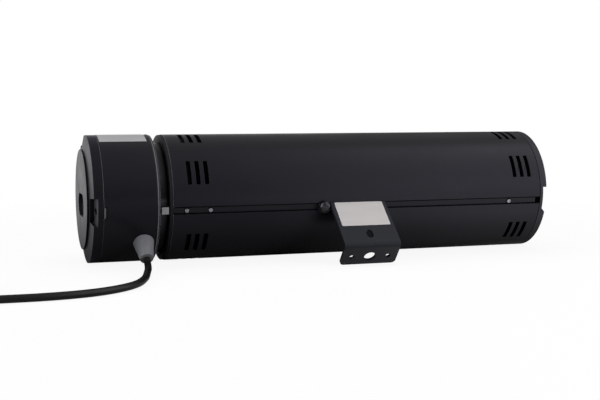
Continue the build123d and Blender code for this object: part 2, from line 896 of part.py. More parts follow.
bar_top_r = groove_floor_r + fit + bar_t
with BuildPart() as bracket_bolt:
    spoke(bolt_x, seam_angle, rail_bottom_r, bar_top_r, bolt_r)
    spoke(bolt_x, seam_angle, bar_top_r, bar_top_r + washer_t, washer_r)
    head_base_r = bar_top_r + washer_t
    spoke(bolt_x, seam_angle, head_base_r, head_base_r + bolt_head_h, bolt_head_r)
    bolt_axis = Axis((bolt_x, 0, 0), (0, *direction(seam_angle)))
    fillet(bracket_bolt.edges().group_by(bolt_axis)[-1], bolt_dome_r)
save(bracket_bolt, "bracket_bolt")

with BuildPart() as bracket_label:
    with BuildSketch(plate_plane.offset(seat)):
        with Locations((0, -plate_label_inset - plate_label_l / 2)):
            RectangleRounded(plate_label_w, plate_label_l, 1.0)
    extrude(amount=label_t)
save(bracket_label, "bracket_label")

# ---------------------------------------------------------------- motor
can_end = can_start + can_l
stack_x = can_start + bell_t + stack_inset
brake_coil_x = can_end - bell_t - bell_spigot_l - brake_coil_l
brake_disc_x = brake_coil_x - brake_gap - brake_disc_t
stack_end = brake_disc_x - winding_gap - winding_l - winding_room
stack_l = stack_end - stack_x
stator_bore_r = rotor_r + air_gap
bore_r = can_r - can_wall
inside_r = bore_r - running
gearbox_screw_angles = around(gearbox_screw_angle, gearbox_screw_count)
gearbox_screw_places = [
    spot(angle, bore_r - gearbox_screw_r / 2) for angle in gearbox_screw_angles
]

with BuildPart() as motor_can:
    band(can_start + bell_t, can_end - bell_t, bore_r, can_r)
save(motor_can, "motor_can")

with BuildPart() as can_end_bells:
    for face, side in ((can_start, 1), (can_end, -1)):
        inner_face = face + side * bell_t
        band(face, inner_face, rotor_bearing_r + running, can_r)
        band(inner_face, inner_face + side * bell_spigot_l, inside_r - can_wall, inside_r)
    for screw in tube_screw_places:
        reach = can_start + bell_t / 2 + stage_gap
        tube(can_start, reach, tube_screw_r + thread_room, 0, screw, Mode.SUBTRACT)
    for screw in gearbox_screw_places:
        tube(can_end - bell_t, can_end, gearbox_screw_r + thread_room, 0, screw, Mode.SUBTRACT)
save(can_end_bells, "can_end_bells")

with BuildPart() as stator_core:
    band(stack_x, stack_end, stator_bore_r, inside_r)
    with BuildSketch(Plane.YZ.offset(stack_x)):
        with PolarLocations(stator_bore_r + slot_depth / 2 - winding_room, stator_slots):
            Rectangle(slot_depth + 2 * winding_room, slot_w)
    extrude(amount=stack_l, mode=Mode.SUBTRACT)
save(stator_core, "stator_core")

winding_inner_r = stator_bore_r + 2 * winding_room
winding_outer_r = stator_bore_r + slot_depth - winding_room
with BuildPart() as stator_windings:
    for face, side in ((stack_x - winding_room, -1), (stack_end + winding_room, 1)):
        band(face, face + side * winding_l, winding_inner_r, winding_outer_r)
    with BuildSketch(Plane.YZ.offset(stack_x - winding_room)):
        with PolarLocations((winding_inner_r + winding_outer_r) / 2, stator_slots):
            Rectangle(winding_outer_r - winding_inner_r - 1, slot_w - 2 * winding_room)
    extrude(amount=stack_l + 2 * winding_room)
    outer_ends = stator_windings.edges().filter_by(GeomType.CIRCLE).group_by(Axis.X)
    fillet(outer_ends[0] + outer_ends[-1], winding_l / 4)
save(stator_windings, "stator_windings")

with BuildPart() as rotor_bearings:
    for x in (can_start, can_end - bell_t):
        band(x, x + bell_t, shaft_r + running, rotor_bearing_r)
save(rotor_bearings, "rotor_bearings")

fan_x = can_start + bell_t + fan_inset
first_gear_x = can_end + first_ring_hub_l
first_gear_end = first_gear_x + gear_face
carrier_x = first_gear_end + gear_gap
case_end = carrier_x + carrier_t + stage_gap
star_plate_x = case_end
star_gear_x = star_plate_x + star_plate_t + gearbox_screw_head_h + stage_gap
star_gear_end = star_gear_x + gear_face
pin_plate_x = star_gear_end + gear_gap
planet_pcr = gear_module * (sun_teeth + planet_teeth) / 2
planet_angles = around(0.0, planet_count)
planet_centres = [spot(angle, planet_pcr) for angle in planet_angles]


def involute(slope):
    """The involute function."""
    return tan(slope) - slope


def gear_outline(teeth, swell, tip_r, root_r, centre=(0.0, 0.0), turn=0.0):
    """Corners of a spur gear with a tooth at the angle turn, each flank moved out by swell."""
    pitch_r = gear_module * teeth / 2
    base_r = pitch_r * cos(pressure)
    flank = [root_r + (tip_r - root_r) * step / 3 for step in range(4)]
    corners = []
    for tooth in range(teeth):
        middle = radians(turn) + 2 * pi * tooth / teeth
        for side in (-1, 1):
            for radius in flank[::-side]:
                slope = acos(min(1.0, base_r / radius))
                half = pi / 2 / teeth + swell / pitch_r + involute(pressure) - involute(slope)
                angle = middle + side * half
                corners.append((centre[0] + radius * cos(angle), centre[1] + radius * sin(angle)))
    return corners


def gear(start, end, teeth, centre=(0.0, 0.0), turn=0.0):
    """Add a spur gear to the part being built."""
    pitch_r = gear_module * teeth / 2
    outline = gear_outline(teeth, -backlash, pitch_r + addendum, pitch_r - dedendum, centre, turn)
    with BuildSketch(Plane.YZ.offset(start)) as section:
        with BuildLine():
            Polyline(*outline, close=True)
        make_face()
    extrude(section.sketch, amount=end - start)


def cut_ring_teeth(start, end):
    """Cut the internal teeth of a ring gear into the part being built."""
    pitch_r = gear_module * ring_teeth / 2
    outline = gear_outline(ring_teeth, backlash, pitch_r + dedendum, pitch_r - ring_addendum)
    with BuildSketch(Plane.YZ.offset(start)) as section:
        with BuildLine():
            Polyline(*outline, close=True)
        make_face()
    extrude(section.sketch, amount=end - start, mode=Mode.SUBTRACT)


ring_r = gear_module * ring_teeth / 2 + dedendum + ring_rim
sun_turn = 180.0 / sun_teeth

with BuildPart() as rotor_shaft:
    tube(can_start - stage_gap, can_end + stage_gap, shaft_r)
    tube(can_end, first_gear_x, sun_shaft_r)
    gear(first_gear_x - gear_gap, first_gear_end, sun_teeth, turn=sun_turn)
    tube(first_gear_end, carrier_x + carrier_t - gear_gap, pilot_r)
save(rotor_shaft, "rotor_shaft")

with BuildPart() as rotor_core:
    band(stack_x, stack_end, shaft_r + seat, rotor_r)
    for face, side in ((stack_x, -1), (stack_end, 1)):
        band(face, face + side * winding_l / 3, rotor_bearing_r, rotor_r - 2 * air_gap)
save(rotor_core, "rotor_core")

with BuildPart() as cooling_fan:
    band(fan_x, fan_x + fan_l, shaft_r + seat, rotor_bearing_r)
    band(fan_x, fan_x + blade_t, rotor_bearing_r - 1, fan_r)
    with BuildSketch(Plane.YZ.offset(fan_x)):
        with PolarLocations((fan_r + rotor_bearing_r) / 2, fan_blades):
            Rectangle(fan_r - rotor_bearing_r + 0.6, blade_t, rotation=12)
    extrude(amount=fan_l)
save(cooling_fan, "cooling_fan")

with BuildPart() as brake_disc:
    band(brake_disc_x, brake_disc_x + brake_disc_t, shaft_r + seat, brake_disc_r)
save(brake_disc, "brake_disc")

with BuildPart() as brake_coil:
    band(brake_coil_x, can_end - bell_t, rotor_bearing_r, brake_disc_r)
save(brake_coil, "brake_coil")

# ---------------------------------------------------------------- gearbox
with BuildPart() as fixed_ring_gear:
    band(can_end, case_end, carrier_r + stage_gap, ring_r)
    cut_ring_teeth(first_gear_x - stage_gap, first_gear_end + gear_gap)
    ring_bore = gear_module * ring_teeth / 2
    band(carrier_x, case_end, carrier_r, ring_bore + dedendum, mode=Mode.SUBTRACT)
    for screw in gearbox_screw_places:
        tube(can_end, case_end, gearbox_screw_r + thread_room, 0, screw, Mode.SUBTRACT)
save(fixed_ring_gear, "fixed_ring_gear")

with BuildPart() as gearbox_screws:
    plate_end = star_plate_x + star_plate_t
    for screw in gearbox_screw_places:
        tube(can_end - bell_t, plate_end, gearbox_screw_r, centre=screw)
        tube(plate_end, plate_end + gearbox_screw_head_h, gearbox_screw_head_r, centre=screw)
save(gearbox_screws, "gearbox_screws")

first_planets = []
star_gears = []
for number, angle, centre in zip(range(1, planet_count + 1), planet_angles, planet_centres):
    with BuildPart() as first_planet:
        gear(first_gear_x, first_gear_end, planet_teeth, centre, angle)
        tube(first_gear_x, first_gear_end, pin_r + running, centre=centre, mode=Mode.SUBTRACT)
    save(first_planet, f"first_planet_{number}")
    with BuildPart() as star_gear:
        gear(star_gear_x, star_gear_end, planet_teeth, centre, angle)
        tube(star_gear_x, star_gear_end, pin_r + running, centre=centre, mode=Mode.SUBTRACT)
    save(star_gear, f"star_gear_{number}")

with BuildPart() as planet_carrier:
    tube(carrier_x, carrier_x + carrier_t, carrier_r)
    tube(carrier_x, carrier_x + carrier_t, pilot_r + running, mode=Mode.SUBTRACT)
    tube(carrier_x + carrier_t - gear_gap / 2, star_gear_x, sun_shaft_r)
    gear(star_gear_x, star_gear_end, sun_teeth, turn=sun_turn)
    for centre in planet_centres:
        tube(first_gear_x, carrier_x + carrier_t / 2, pin_r, centre=centre)
save(planet_carrier, "planet_carrier")

with BuildPart() as star_plate:
    band(star_plate_x, star_plate_x + star_plate_t, sun_shaft_r + running, ring_r)
    for screw in gearbox_screw_places:
        reach = star_plate_x + star_plate_t
        tube(star_plate_x, reach, gearbox_screw_r + thread_room, 0, screw, Mode.SUBTRACT)
    for centre in planet_centres:
        tube(star_plate_x + 1, pin_plate_x + pin_plate_t, pin_r, centre=centre)
save(star_plate, "star_plate")

with BuildPart() as far_axle:
    tube(pin_plate_x, pin_plate_x + pin_plate_t, carrier_r)
    tube(pin_plate_x + pin_plate_t, far_axle_end, far_axle_r)
    for centre in planet_centres:
        tube(pin_plate_x, pin_plate_x + pin_plate_t, pin_r + seat, 0, centre, Mode.SUBTRACT)
save(far_axle, "far_axle")

# ---------------------------------------------------------------- drive into the drum
ring_flange_r = ring_r + ring_flange_w
drive_screw_pcr = (ring_r + ring_flange_r) / 2
drive_screw_places = [spot(angle, drive_screw_pcr) for angle in gearbox_screw_angles]
disc_x = star_gear_end + stage_gap
with BuildPart() as output_ring_gear:
    band(star_gear_x - gear_gap / 2, disc_x, carrier_r + stage_gap, ring_r)
    band(disc_x - ring_flange_t, disc_x, ring_r - 1, ring_flange_r)
    cut_ring_teeth(star_gear_x - gear_gap, disc_x + gear_gap)
    reach = disc_x - ring_flange_t
    for angle in seams:
        low_r = rail_bottom_r - fit
        band(reach, disc_x, low_r, casing_r, rail_arc + 2, angle, Mode.SUBTRACT)
    for screw in drive_screw_places:
        tube(reach, disc_x, drive_screw_r + thread_room, 0, screw, Mode.SUBTRACT)
save(output_ring_gear, "output_ring_gear")

with BuildPart() as drive_disc:
    band(disc_x, disc_x + drive_disc_t, carrier_r + pin_plate_t, nested_r)
    for angle in seams:
        low_r = rail_bottom_r - fit
        band(disc_x, disc_x + drive_disc_t, low_r, casing_r, rail_arc + 2, angle, Mode.SUBTRACT)
    for screw in drive_screw_places:
        reach = disc_x + drive_disc_t
        tube(disc_x, reach, drive_screw_r + thread_room, 0, screw, Mode.SUBTRACT)
save(drive_disc, "drive_disc")

with BuildPart() as drive_screws:
    for screw in drive_screw_places:
        face = disc_x + drive_disc_t
        tube(disc_x - ring_flange_t, face, drive_screw_r, centre=screw)
        tube(face, face + drive_screw_head_h, drive_screw_head_r, centre=screw)
save(drive_screws, "drive_screws")
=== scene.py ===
"""Looks of a roller shutter motor: a fixed head, a geared drum, its bracket and its mains lead.

Lengths in the settings are in metres. The spin axis is X, +Z is up and -Y is the front.
"""

import json
from math import cos, degrees, radians, sin

import bmesh
import bpy
from mathutils import Matrix, Vector


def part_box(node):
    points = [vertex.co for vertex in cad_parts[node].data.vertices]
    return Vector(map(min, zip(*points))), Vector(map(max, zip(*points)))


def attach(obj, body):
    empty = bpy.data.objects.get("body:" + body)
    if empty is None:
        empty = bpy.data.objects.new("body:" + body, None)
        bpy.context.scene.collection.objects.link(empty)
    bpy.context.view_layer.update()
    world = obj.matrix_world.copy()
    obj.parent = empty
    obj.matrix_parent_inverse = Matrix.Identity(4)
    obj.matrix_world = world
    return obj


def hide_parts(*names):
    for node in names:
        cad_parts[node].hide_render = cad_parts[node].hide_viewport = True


bl_info = {
    "name": "Roller shutter motor looks",
    "version": (1, 0, 0),
    "blender": (4, 5, 0),
    "location": "3D View > Sidebar > Shutter motor",
    "description": "Finishes, fasteners, lead and studio for a roller shutter motor",
    "category": "Object",
}

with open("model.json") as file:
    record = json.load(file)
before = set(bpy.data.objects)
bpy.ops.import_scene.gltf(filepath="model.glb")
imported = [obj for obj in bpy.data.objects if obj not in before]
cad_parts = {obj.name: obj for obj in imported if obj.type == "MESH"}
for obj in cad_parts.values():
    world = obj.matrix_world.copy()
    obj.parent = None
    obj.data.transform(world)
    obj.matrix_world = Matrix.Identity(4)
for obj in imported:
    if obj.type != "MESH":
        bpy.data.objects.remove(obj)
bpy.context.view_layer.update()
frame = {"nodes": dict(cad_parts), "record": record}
MM = 0.001
# Vertices closer than this are merged, and edges steeper than this many degrees stay sharp.
WELD = 0.01 * MM
SHARP_EDGE = 30.0

# ---------------------------------------------------------------- places taken from the frame
casing_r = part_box("drum_upper_shell")[1].z
coil_low, coil_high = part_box("cord_coil")
table_z = coil_low.z
coil_centre = (coil_low + coil_high) / 2


def linear(colour):
    """Turn an sRGB hex colour to the linear values that a shader takes."""
    parts = [int(colour[place : place + 2], 16) / 255 for place in (0, 2, 4)]
    return tuple(p / 12.92 if p <= 0.04045 else ((p + 0.055) / 1.055) ** 2.4 for p in parts)


def per_metre(size_mm):
    """The scale at which a texture's features are about this many millimetres across."""
    return 1000.0 / size_mm


# ---------------------------------------------------------------- settings
def colour_setting(name, description, colour):
    """A colour that a user can change."""
    return bpy.props.FloatVectorProperty(
        name=name,
        description=description,
        subtype="COLOR",
        size=3,
        min=0.0,
        max=1.0,
        default=linear(colour),
    )


def length_setting(name, description, millimetres):
    """A length that a user can change."""
    return bpy.props.FloatProperty(
        name=name, description=description, default=millimetres * MM, unit="LENGTH", precision=5
    )


def power_setting(name, description, watts):
    """A lamp's power that a user can change."""
    return bpy.props.FloatProperty(name=name, description=description, default=watts, unit="POWER")


class ShutterMotorFinishes(bpy.types.PropertyGroup):
    """Colours of the visible pieces."""

    casing: colour_setting("Casing", "Satin powder coat on the shells", "0f0f12")
    covers: colour_setting("Covers", "Black paint on the cast end covers", "161619")
    bracket: colour_setting("Bracket", "Black paint on the folded sheet", "16171a")
    groove: colour_setting("Groove", "Black rail at the bottom of the groove", "0e0e10")
    fastener: colour_setting("Fasteners", "Blackened screws", "3a3a3d")
    zinc: colour_setting("Zinc", "Bright zinc plate", "bcbec2")
    # This colour is wear along the rims, and also painted highlight there and on the head's bead.
    worn: colour_setting("Worn edges", "Metal that shows through rubbed paint", "8f8f94")
    film: colour_setting("Silver film", "Matt silver label film", "b8b8bb")
    paper: colour_setting("White film", "Off-white label film", "bdb9b9")
    relief: colour_setting("Relief", "Grey rubber of the cable relief", "6e6f73")
    sheath: colour_setting("Sheath", "Black sheath of the lead", "0a0a0b")


class ShutterMotorSizes(bpy.types.PropertyGroup):
    """Sizes of the pieces that are made here."""

    lead_diameter: length_setting("Lead", "Outside diameter of the mains lead", 6.8)
    recess_arm: length_setting("Recess arm", "Width of a cross recess's arm", 0.9)
    recess_depth: length_setting("Recess depth", "Depth of a cross recess", 0.8)
    tie_width: length_setting("Tie", "Width of the tie round the coil", 7.0)
    groove_width: length_setting("Groove width", "Width of the grooves in the drum", 7.5)
    channel_width: length_setting("Channel width", "Width of the slits beside a strip", 1.1)
    channel_depth: length_setting("Channel depth", "Depth of those slits in the rail", 1.4)
    strip_overlap: length_setting("Strip overlap", "How far a strip runs past its rail", 3.3)
    slot_width: length_setting("Slot width", "Width of the slot in the bracket's plate", 7.0)
    slot_length: length_setting("Slot length", "Length of that slot, down the plate", 11.0)


class ShutterMotorStudio(bpy.types.PropertyGroup):
    """The camera and the lamps."""

    camera_place: bpy.props.FloatVectorProperty(
        name="Camera",
        description="Where the camera stands",
        subtype="TRANSLATION",
        default=(-0.1198, -1.0816, 0.0948),
        precision=4,
    )
    camera_aim: bpy.props.FloatVectorProperty(
        name="Aim",
        description="The way that the camera looks",
        subtype="DIRECTION",
        default=(0.3066, 0.9477, -0.0892),
        precision=4,
    )
    lens: bpy.props.FloatProperty(
        name="Lens", description="Focal length on a 36 mm sensor", default=64.25, unit="CAMERA"
    )
    top_power: power_setting("Top lamp", "Power of the softbox overhead", 7.5)
    left_power: power_setting("Left lamp", "Power of the softbox at the left", 8.2)
    front_power: power_setting("Front lamp", "Power of the front fill", 13.0)


# ---------------------------------------------------------------- material building
def add_node(tree, kind, settings=None, links=None):
    """Add a node with its settings and the links into it."""
    node = tree.nodes.new(kind)
    for name, value in (settings or {}).items():
        if isinstance(name, int) or name in node.inputs:
            node.inputs[name].default_value = value
        else:
            setattr(node, name, value)
    for name, source in (links or {}).items():
        tree.links.new(source, node.inputs[name])
    return node


# The settings of a Math node that keeps the larger of two values, and of one that multiplies.
LARGER = {"operation": "MAXIMUM"}
PRODUCT = {"operation": "MULTIPLY"}


def brightest(tree, place, regions):
    """How bright a place is: the brightest of several regions.

    A region is the product of smooth ramps, and a ramp is an axis, the two places that it runs
    between, and its values there.
    """
    axes = add_node(tree, "ShaderNodeSeparateXYZ", None, {"Vector": place}).outputs
    total = None
    for ramps in regions:
        region = None
        for axis, start, end, low, high in ramps:
            span = {"From Min": start, "From Max": end, "To Min": low, "To Max": high}
            settings = {"interpolation_type": "SMOOTHSTEP", **span}
            ramp = add_node(tree, "ShaderNodeMapRange", settings, {"Value": axes[axis]}).outputs[0]
            if region:
                ramp = add_node(tree, "ShaderNodeMath", PRODUCT, {0: region, 1: ramp}).outputs[0]
            region = ramp
        if total:
            region = add_node(tree, "ShaderNodeMath", LARGER, {0: total, 1: region}).outputs[0]
        total = region
    return total


def kinds_of_ray(tree):
    """A share of 1 on rays that the lens sees, straight or through glass, and one on gloss's."""
    path = add_node(tree, "ShaderNodeLightPath").outputs
    links = {0: path["Is Camera Ray"], 1: path["Is Transmission Ray"]}
    return add_node(tree, "ShaderNodeMath", LARGER, links).outputs[0], path["Is Glossy Ray"]


# The span of a noise that a pattern uses, and the rays that look for an edge.
NOISE_SPAN = (0.3, 0.7)
BEVEL_SAMPLES = 6


class Finish:
    """A material, with its shader and the patterns laid on it.

    Stations and other lengths are in millimetres, and a station is a place along the spin axis.
    """

    def __init__(self, name, colour, roughness, metallic=0.0, **sockets):
        self.material = bpy.data.materials.new(name)
        self.material.use_nodes = True
        self.tree = self.material.node_tree
        self.shader = self.tree.nodes["Principled BSDF"]
        self.colour = (*colour, 1.0)
        self.roughness = roughness
        self.shader.inputs["Base Color"].default_value = self.colour
        self.shader.inputs["Roughness"].default_value = roughness
        self.shader.inputs["Metallic"].default_value = metallic
        for socket, value in sockets.items():
            self.shader.inputs[socket.replace("_", " ")].default_value = value
        self.place = add_node(self.tree, "ShaderNodeTexCoord").outputs["Object"]
        self.normal = None

    def stretched(self, scale):
        """The place on the piece, with the pattern stretched along an axis."""
        links = {"Vector": self.place}
        return add_node(self.tree, "ShaderNodeMapping", {"Scale": scale}, links).outputs[0]

    def noise(self, size_mm, detail=3.0, place=None):
        """Cloudy noise with features of this size."""
        settings = {"Scale": per_metre(size_mm), "Detail": detail, "Roughness": 0.55}
        links = {"Vector": place or self.place}
        return add_node(self.tree, "ShaderNodeTexNoise", settings, links).outputs["Fac"]

    def mottle(self, size_mm, spread, place=None, detail=3.0):
        """Vary the colour a little, darker and lighter, over this size."""
        dark = tuple(channel * (1 - spread) for channel in self.colour[:3])
        light = tuple(min(1.0, channel * (1 + spread)) for channel in self.colour[:3])
        links = {"Fac": self.noise(size_mm, detail, place)}
        ramp = add_node(self.tree, "ShaderNodeValToRGB", None, links)
        for stop, position, shade in zip(ramp.color_ramp.elements, NOISE_SPAN, (dark, light)):
            stop.position = position
            stop.color = (*shade, 1.0)
        self.tree.links.new(ramp.outputs["Color"], self.shader.inputs["Base Color"])

    def smudge(self, size_mm, spread):
        """Vary the roughness, as handling and wiping leave it."""
        span = {
            "From Min": NOISE_SPAN[0],
            "From Max": NOISE_SPAN[1],
            "To Min": self.roughness - spread,
            "To Max": self.roughness + spread,
        }
        links = {"Value": self.noise(size_mm, 4.0)}
        rough = add_node(self.tree, "ShaderNodeMapRange", span, links)
        self.tree.links.new(rough.outputs["Result"], self.shader.inputs["Roughness"])

    def soften(self, radius_mm):
        """Round the sharp edges to the eye, as paint or a tumbled edge does."""
        settings = {"samples": BEVEL_SAMPLES, "Radius": radius_mm * MM}
        self.normal = add_node(self.tree, "ShaderNodeBevel", settings).outputs["Normal"]
        self.tree.links.new(self.normal, self.shader.inputs["Normal"])

    def station(self):
        """The place along the spin axis."""
        return add_node(self.tree, "ShaderNodeSeparateXYZ", None, {0: self.place}).outputs["X"]

    def radius(self):
        """The distance from the spin axis."""
        settings = {"operation": "MULTIPLY", 1: (0.0, 1.0, 1.0)}
        across = add_node(self.tree, "ShaderNodeVectorMath", settings, {0: self.place}).outputs[0]
        settings = {"operation": "LENGTH"}
        return add_node(self.tree, "ShaderNodeVectorMath", settings, {0: across}).outputs["Value"]

    def where(self, tests, join=PRODUCT):
        """A share of 1 where all the tests hold, or any of them where they join as LARGER.

        A test is a length, an operation, and the millimetres that the operation takes.
        """
        total = None
        for length, operation, *limits in tests:
            settings = {place: limit * MM for place, limit in enumerate(limits, 1)}
            settings["operation"] = operation
            held = add_node(self.tree, "ShaderNodeMath", settings, {0: length}).outputs[0]
            if total:
                held = add_node(self.tree, "ShaderNodeMath", join, {0: total, 1: held}).outputs[0]
            total = held
        return total

    def beside(self, stations, reach):
        """A share of 1 within this reach of a station."""
        along = self.station()
        return self.where([(along, "COMPARE", station, reach) for station in stations], LARGER)

    def blend(self, socket, share, value):
        """Go over to another value of a linked socket where the share is 1."""
        base = self.shader.inputs[socket]
        settings = {"data_type": "FLOAT" if base.type == "VALUE" else "RGBA", "B": value}
        links = {"Factor": share, "A": base.links[0].from_socket}
        mix = add_node(self.tree, "ShaderNodeMix", settings, links)
        self.tree.links.new(mix.outputs["Result"], base)

    def blend_colour(self, share, colour):
        """Go over to another colour where the share is 1."""
        self.blend("Base Color", share, (*colour, 1.0))

    def worn_and_highlit_edges(self, radius_mm, colour, share):
        """Show paler metal along the edges in a share: wear where handling has rubbed the paint,
        and a painted highlight along those edges.
        """
        settings = {"samples": BEVEL_SAMPLES, "Radius": radius_mm * MM}
        rounded = add_node(self.tree, "ShaderNodeBevel", settings).outputs["Normal"]
        surface = add_node(self.tree, "ShaderNodeNewGeometry").outputs["Normal"]
        settings, links = {"operation": "DOT_PRODUCT"}, {0: rounded, 1: surface}
        flatness = add_node(self.tree, "ShaderNodeVectorMath", settings, links).outputs["Value"]
        # An edge is where the rounded normal leans away from the surface's own.
        span = {"From Min": 0.99, "From Max": 0.9}
        edges = add_node(self.tree, "ShaderNodeMapRange", span, {"Value": flatness}).outputs[0]
        worn = add_node(self.tree, "ShaderNodeMath", PRODUCT, {0: edges, 1: share}).outputs[0]
        self.blend_colour(worn, colour)

    def grain(self, size_mm, height_mm, place=None, strength=0.6):
        """Raise a fine grain on the surface."""
        links = {"Height": self.noise(size_mm, 2.0, place)}
        if self.normal:
            links["Normal"] = self.normal
        settings = {"Strength": strength, "Distance": height_mm * MM}
        self.normal = add_node(self.tree, "ShaderNodeBump", settings, links).outputs["Normal"]
        self.tree.links.new(self.normal, self.shader.inputs["Normal"])


# The blue cast that the gloss of the black paints has.
BLUE_BLACK = (0.82, 0.84, 1.0, 1.0)
# The sizes from here to the first paint are in millimetres.
# How far the lighter bands reach along the axis: wear and painted highlight from a rim, painted
# highlight from a bead and a latch.
RIM_REACH = 1.2
BEAD_REACH = 0.55
LATCH_REACH = 0.75
# The head's bead and latches stand this far in from its rims, and the drum is dark over this
# length at its end.
BEAD_INSET = 1.6
LATCH_INSET = 1.0
DARK_END = 0.7
# How far a tested place may stray past a wall or an end.
MARGIN = 0.1
# The head cover: its boss, the inner walls of its screw pockets, the reach of those walls, the
# width of its rim, and how far its shoulder leans for each millimetre of radius. A pocket's
# floor lies past this depth, which is measured along the axis from a cone with that lean.
BOSS_R = 50.0
POCKET_R = 52.4
WALL_REACH = 0.15
RIM_WIDTH = 0.6
SHOULDER_SLOPE = 0.2157
POCKET_FLOOR = -5.3


def powder_coated_steel(
    name, colour, roughness=0.3, worn=None, rims=(), bead=None, bead_share=1.0, black=None
):
    """Powder coat on steel: satin, faintly dimpled, rubbed thin where it is handled.

    The edges at the rims are lighter, as wear and as a painted highlight, a bead carries a painted
    highlight by its share, and over the span of black the surface is dark and metallic, which on
    the lip is painted shade under the shell.
    """
    finish = Finish(name, colour, roughness, Specular_Tint=BLUE_BLACK, IOR=1.4)
    finish.mottle(60.0, 0.06)
    if rims:
        # Lighter rim edges: wear, and a painted highlight.
        finish.worn_and_highlit_edges(0.5, worn, finish.beside(rims, RIM_REACH))
    # The bead's lighter band is a painted highlight.
    if bead:
        settings, links = {**PRODUCT, 1: bead_share}, {0: finish.beside((bead,), BEAD_REACH)}
        rubbed = add_node(finish.tree, "ShaderNodeMath", settings, links).outputs[0]
        finish.blend_colour(rubbed, worn)
    # Dark and metallic over the span of black; on the lip this is painted shade under the shell.
    if black:
        share = finish.beside((sum(black) / 2,), (black[1] - black[0]) / 2)
        finish.blend_colour(share, linear("0c0c0d"))
        finish.tree.links.new(share, finish.shader.inputs["Metallic"])
    finish.smudge(35.0, 0.04)
    finish.soften(0.5)
    # The dimples of a powder coat are about 0.4 mm; they are drawn at 1.1 mm so that they show.
    finish.grain(1.1, 0.02, strength=0.35)
    return finish.material


def painted_casting(name, colour):
    """Paint on a die-cast cover: satin and slightly grainy, dustier where it has been handled."""
    finish = Finish(name, colour, 0.44, Specular_Tint=BLUE_BLACK, IOR=1.5)
    finish.mottle(25.0, 0.1)
    finish.smudge(18.0, 0.06)
    finish.soften(0.7)
    # Casting grain is about 0.5 mm; it is drawn at 0.9 mm so that it shows.
    finish.grain(0.9, 0.03, strength=0.4)
    return finish


def painted_head_cover(name, colour, worn, latch):
    """The head's painted cover, smooth round its rim.

    Its latches stand proud of the casing and carry a painted highlight at their station. The
    floors of its pockets are paler as painted light, and the round walls of its boss and pockets
    are darker as painted shade.
    """
    finish = painted_casting(name, colour)
    casing = casing_r / MM
    along, radius = finish.station(), finish.radius()
    proud = (radius, "GREATER_THAN", casing + WALL_REACH)
    # The latches' bright colour is a painted highlight.
    latches = finish.where([(along, "COMPARE", latch, LATCH_REACH), proud])
    finish.blend_colour(latches, worn)
    # The paler pocket floors are painted light.
    settings, links = {"operation": "MULTIPLY_ADD", 1: -SHOULDER_SLOPE}, {0: radius, 2: along}
    depth = add_node(finish.tree, "ShaderNodeMath", settings, links).outputs[0]
    under = (depth, "GREATER_THAN", POCKET_FLOOR)
    beyond_wall = (radius, "GREATER_THAN", POCKET_R + MARGIN)
    within_casing = (radius, "LESS_THAN", casing - 2 * MARGIN)
    floors = finish.where([under, beyond_wall, within_casing])
    finish.blend_colour(floors, linear("2e2e31"))
    # The darker round walls are painted shade.
    round_walls = [(radius, "COMPARE", wall, WALL_REACH) for wall in (BOSS_R, POCKET_R)]
    walls = finish.where(round_walls, LARGER)
    finish.blend_colour(walls, linear("1e1e20"))
    rim = finish.where([(radius, "GREATER_THAN", casing - RIM_WIDTH)])
    finish.blend("Roughness", rim, 0.3)
    # A metal's share takes away the pale sheen that paint has at a low angle; on the round walls
    # it darkens them as painted shade.
    smooth = add_node(finish.tree, "ShaderNodeMath", {**PRODUCT, 1: 0.45}, {0: rim}).outputs[0]
    metal = add_node(finish.tree, "ShaderNodeMath", LARGER, {0: walls, 1: smooth}).outputs[0]
    finish.tree.links.new(metal, finish.shader.inputs["Metallic"])
    return finish.material


def moulded_nylon(name, colour, roughness=0.5):
    """Glass-filled nylon, moulded: dull, with a fine even spark texture."""
    finish = Finish(name, colour, roughness, IOR=1.53)
    finish.mottle(12.0, 0.06)
    finish.soften(0.4)
    finish.grain(0.6, 0.015, strength=0.4)
    return finish.material


def blackened_steel(name, colour, roughness=0.36):
    """Oxide-blackened steel: dark, oily, with brighter worn patches."""
    finish = Finish(name, colour, roughness, metallic=1.0)
    finish.mottle(3.0, 0.3)
    finish.smudge(5.0, 0.08)
    finish.soften(0.2)
    return finish.material


def zinc_plated_steel(name, colour):
    """Bright zinc plate over drawn steel: pale, faintly lined along its length."""
    finish = Finish(name, colour, 0.3, metallic=1.0)
    finish.mottle(8.0, 0.08)
    finish.smudge(6.0, 0.07)
    finish.soften(0.25)
    finish.grain(0.5, 0.01, finish.stretched((0.05, 1.0, 1.0)), 0.3)
    return finish.material


def machined_steel(name, colour):
    """Hardened and ground steel: cool grey with fine turning marks round the axis."""
    finish = Finish(name, colour, 0.28, metallic=1.0)
    finish.mottle(14.0, 0.07)
    finish.soften(0.15)
    finish.grain(0.4, 0.008, finish.stretched((1.0, 0.08, 0.08)), 0.3)
    return finish.material


def laminated_core_steel(name, colour):
    """Stacked electrical steel: dull blue-grey, lined with the edges of its sheets."""
    finish = Finish(name, colour, 0.45, metallic=1.0)
    # The sheets are 0.5 mm thick; their lines are drawn about 3 mm apart so that they show. A
    # wave has about three lines in its size.
    settings = {"bands_direction": "X", "Scale": per_metre(10.0), "Distortion": 0.0}
    links = {"Vector": finish.place}
    sheets = add_node(finish.tree, "ShaderNodeTexWave", settings, links).outputs["Fac"]
    finish.mottle(10.0, 0.12)
    settings = {"Strength": 0.4, "Distance": 0.05 * MM}
    bump = add_node(finish.tree, "ShaderNodeBump", settings, {"Height": sheets})
    finish.tree.links.new(bump.outputs["Normal"], finish.shader.inputs["Normal"])
    return finish.material


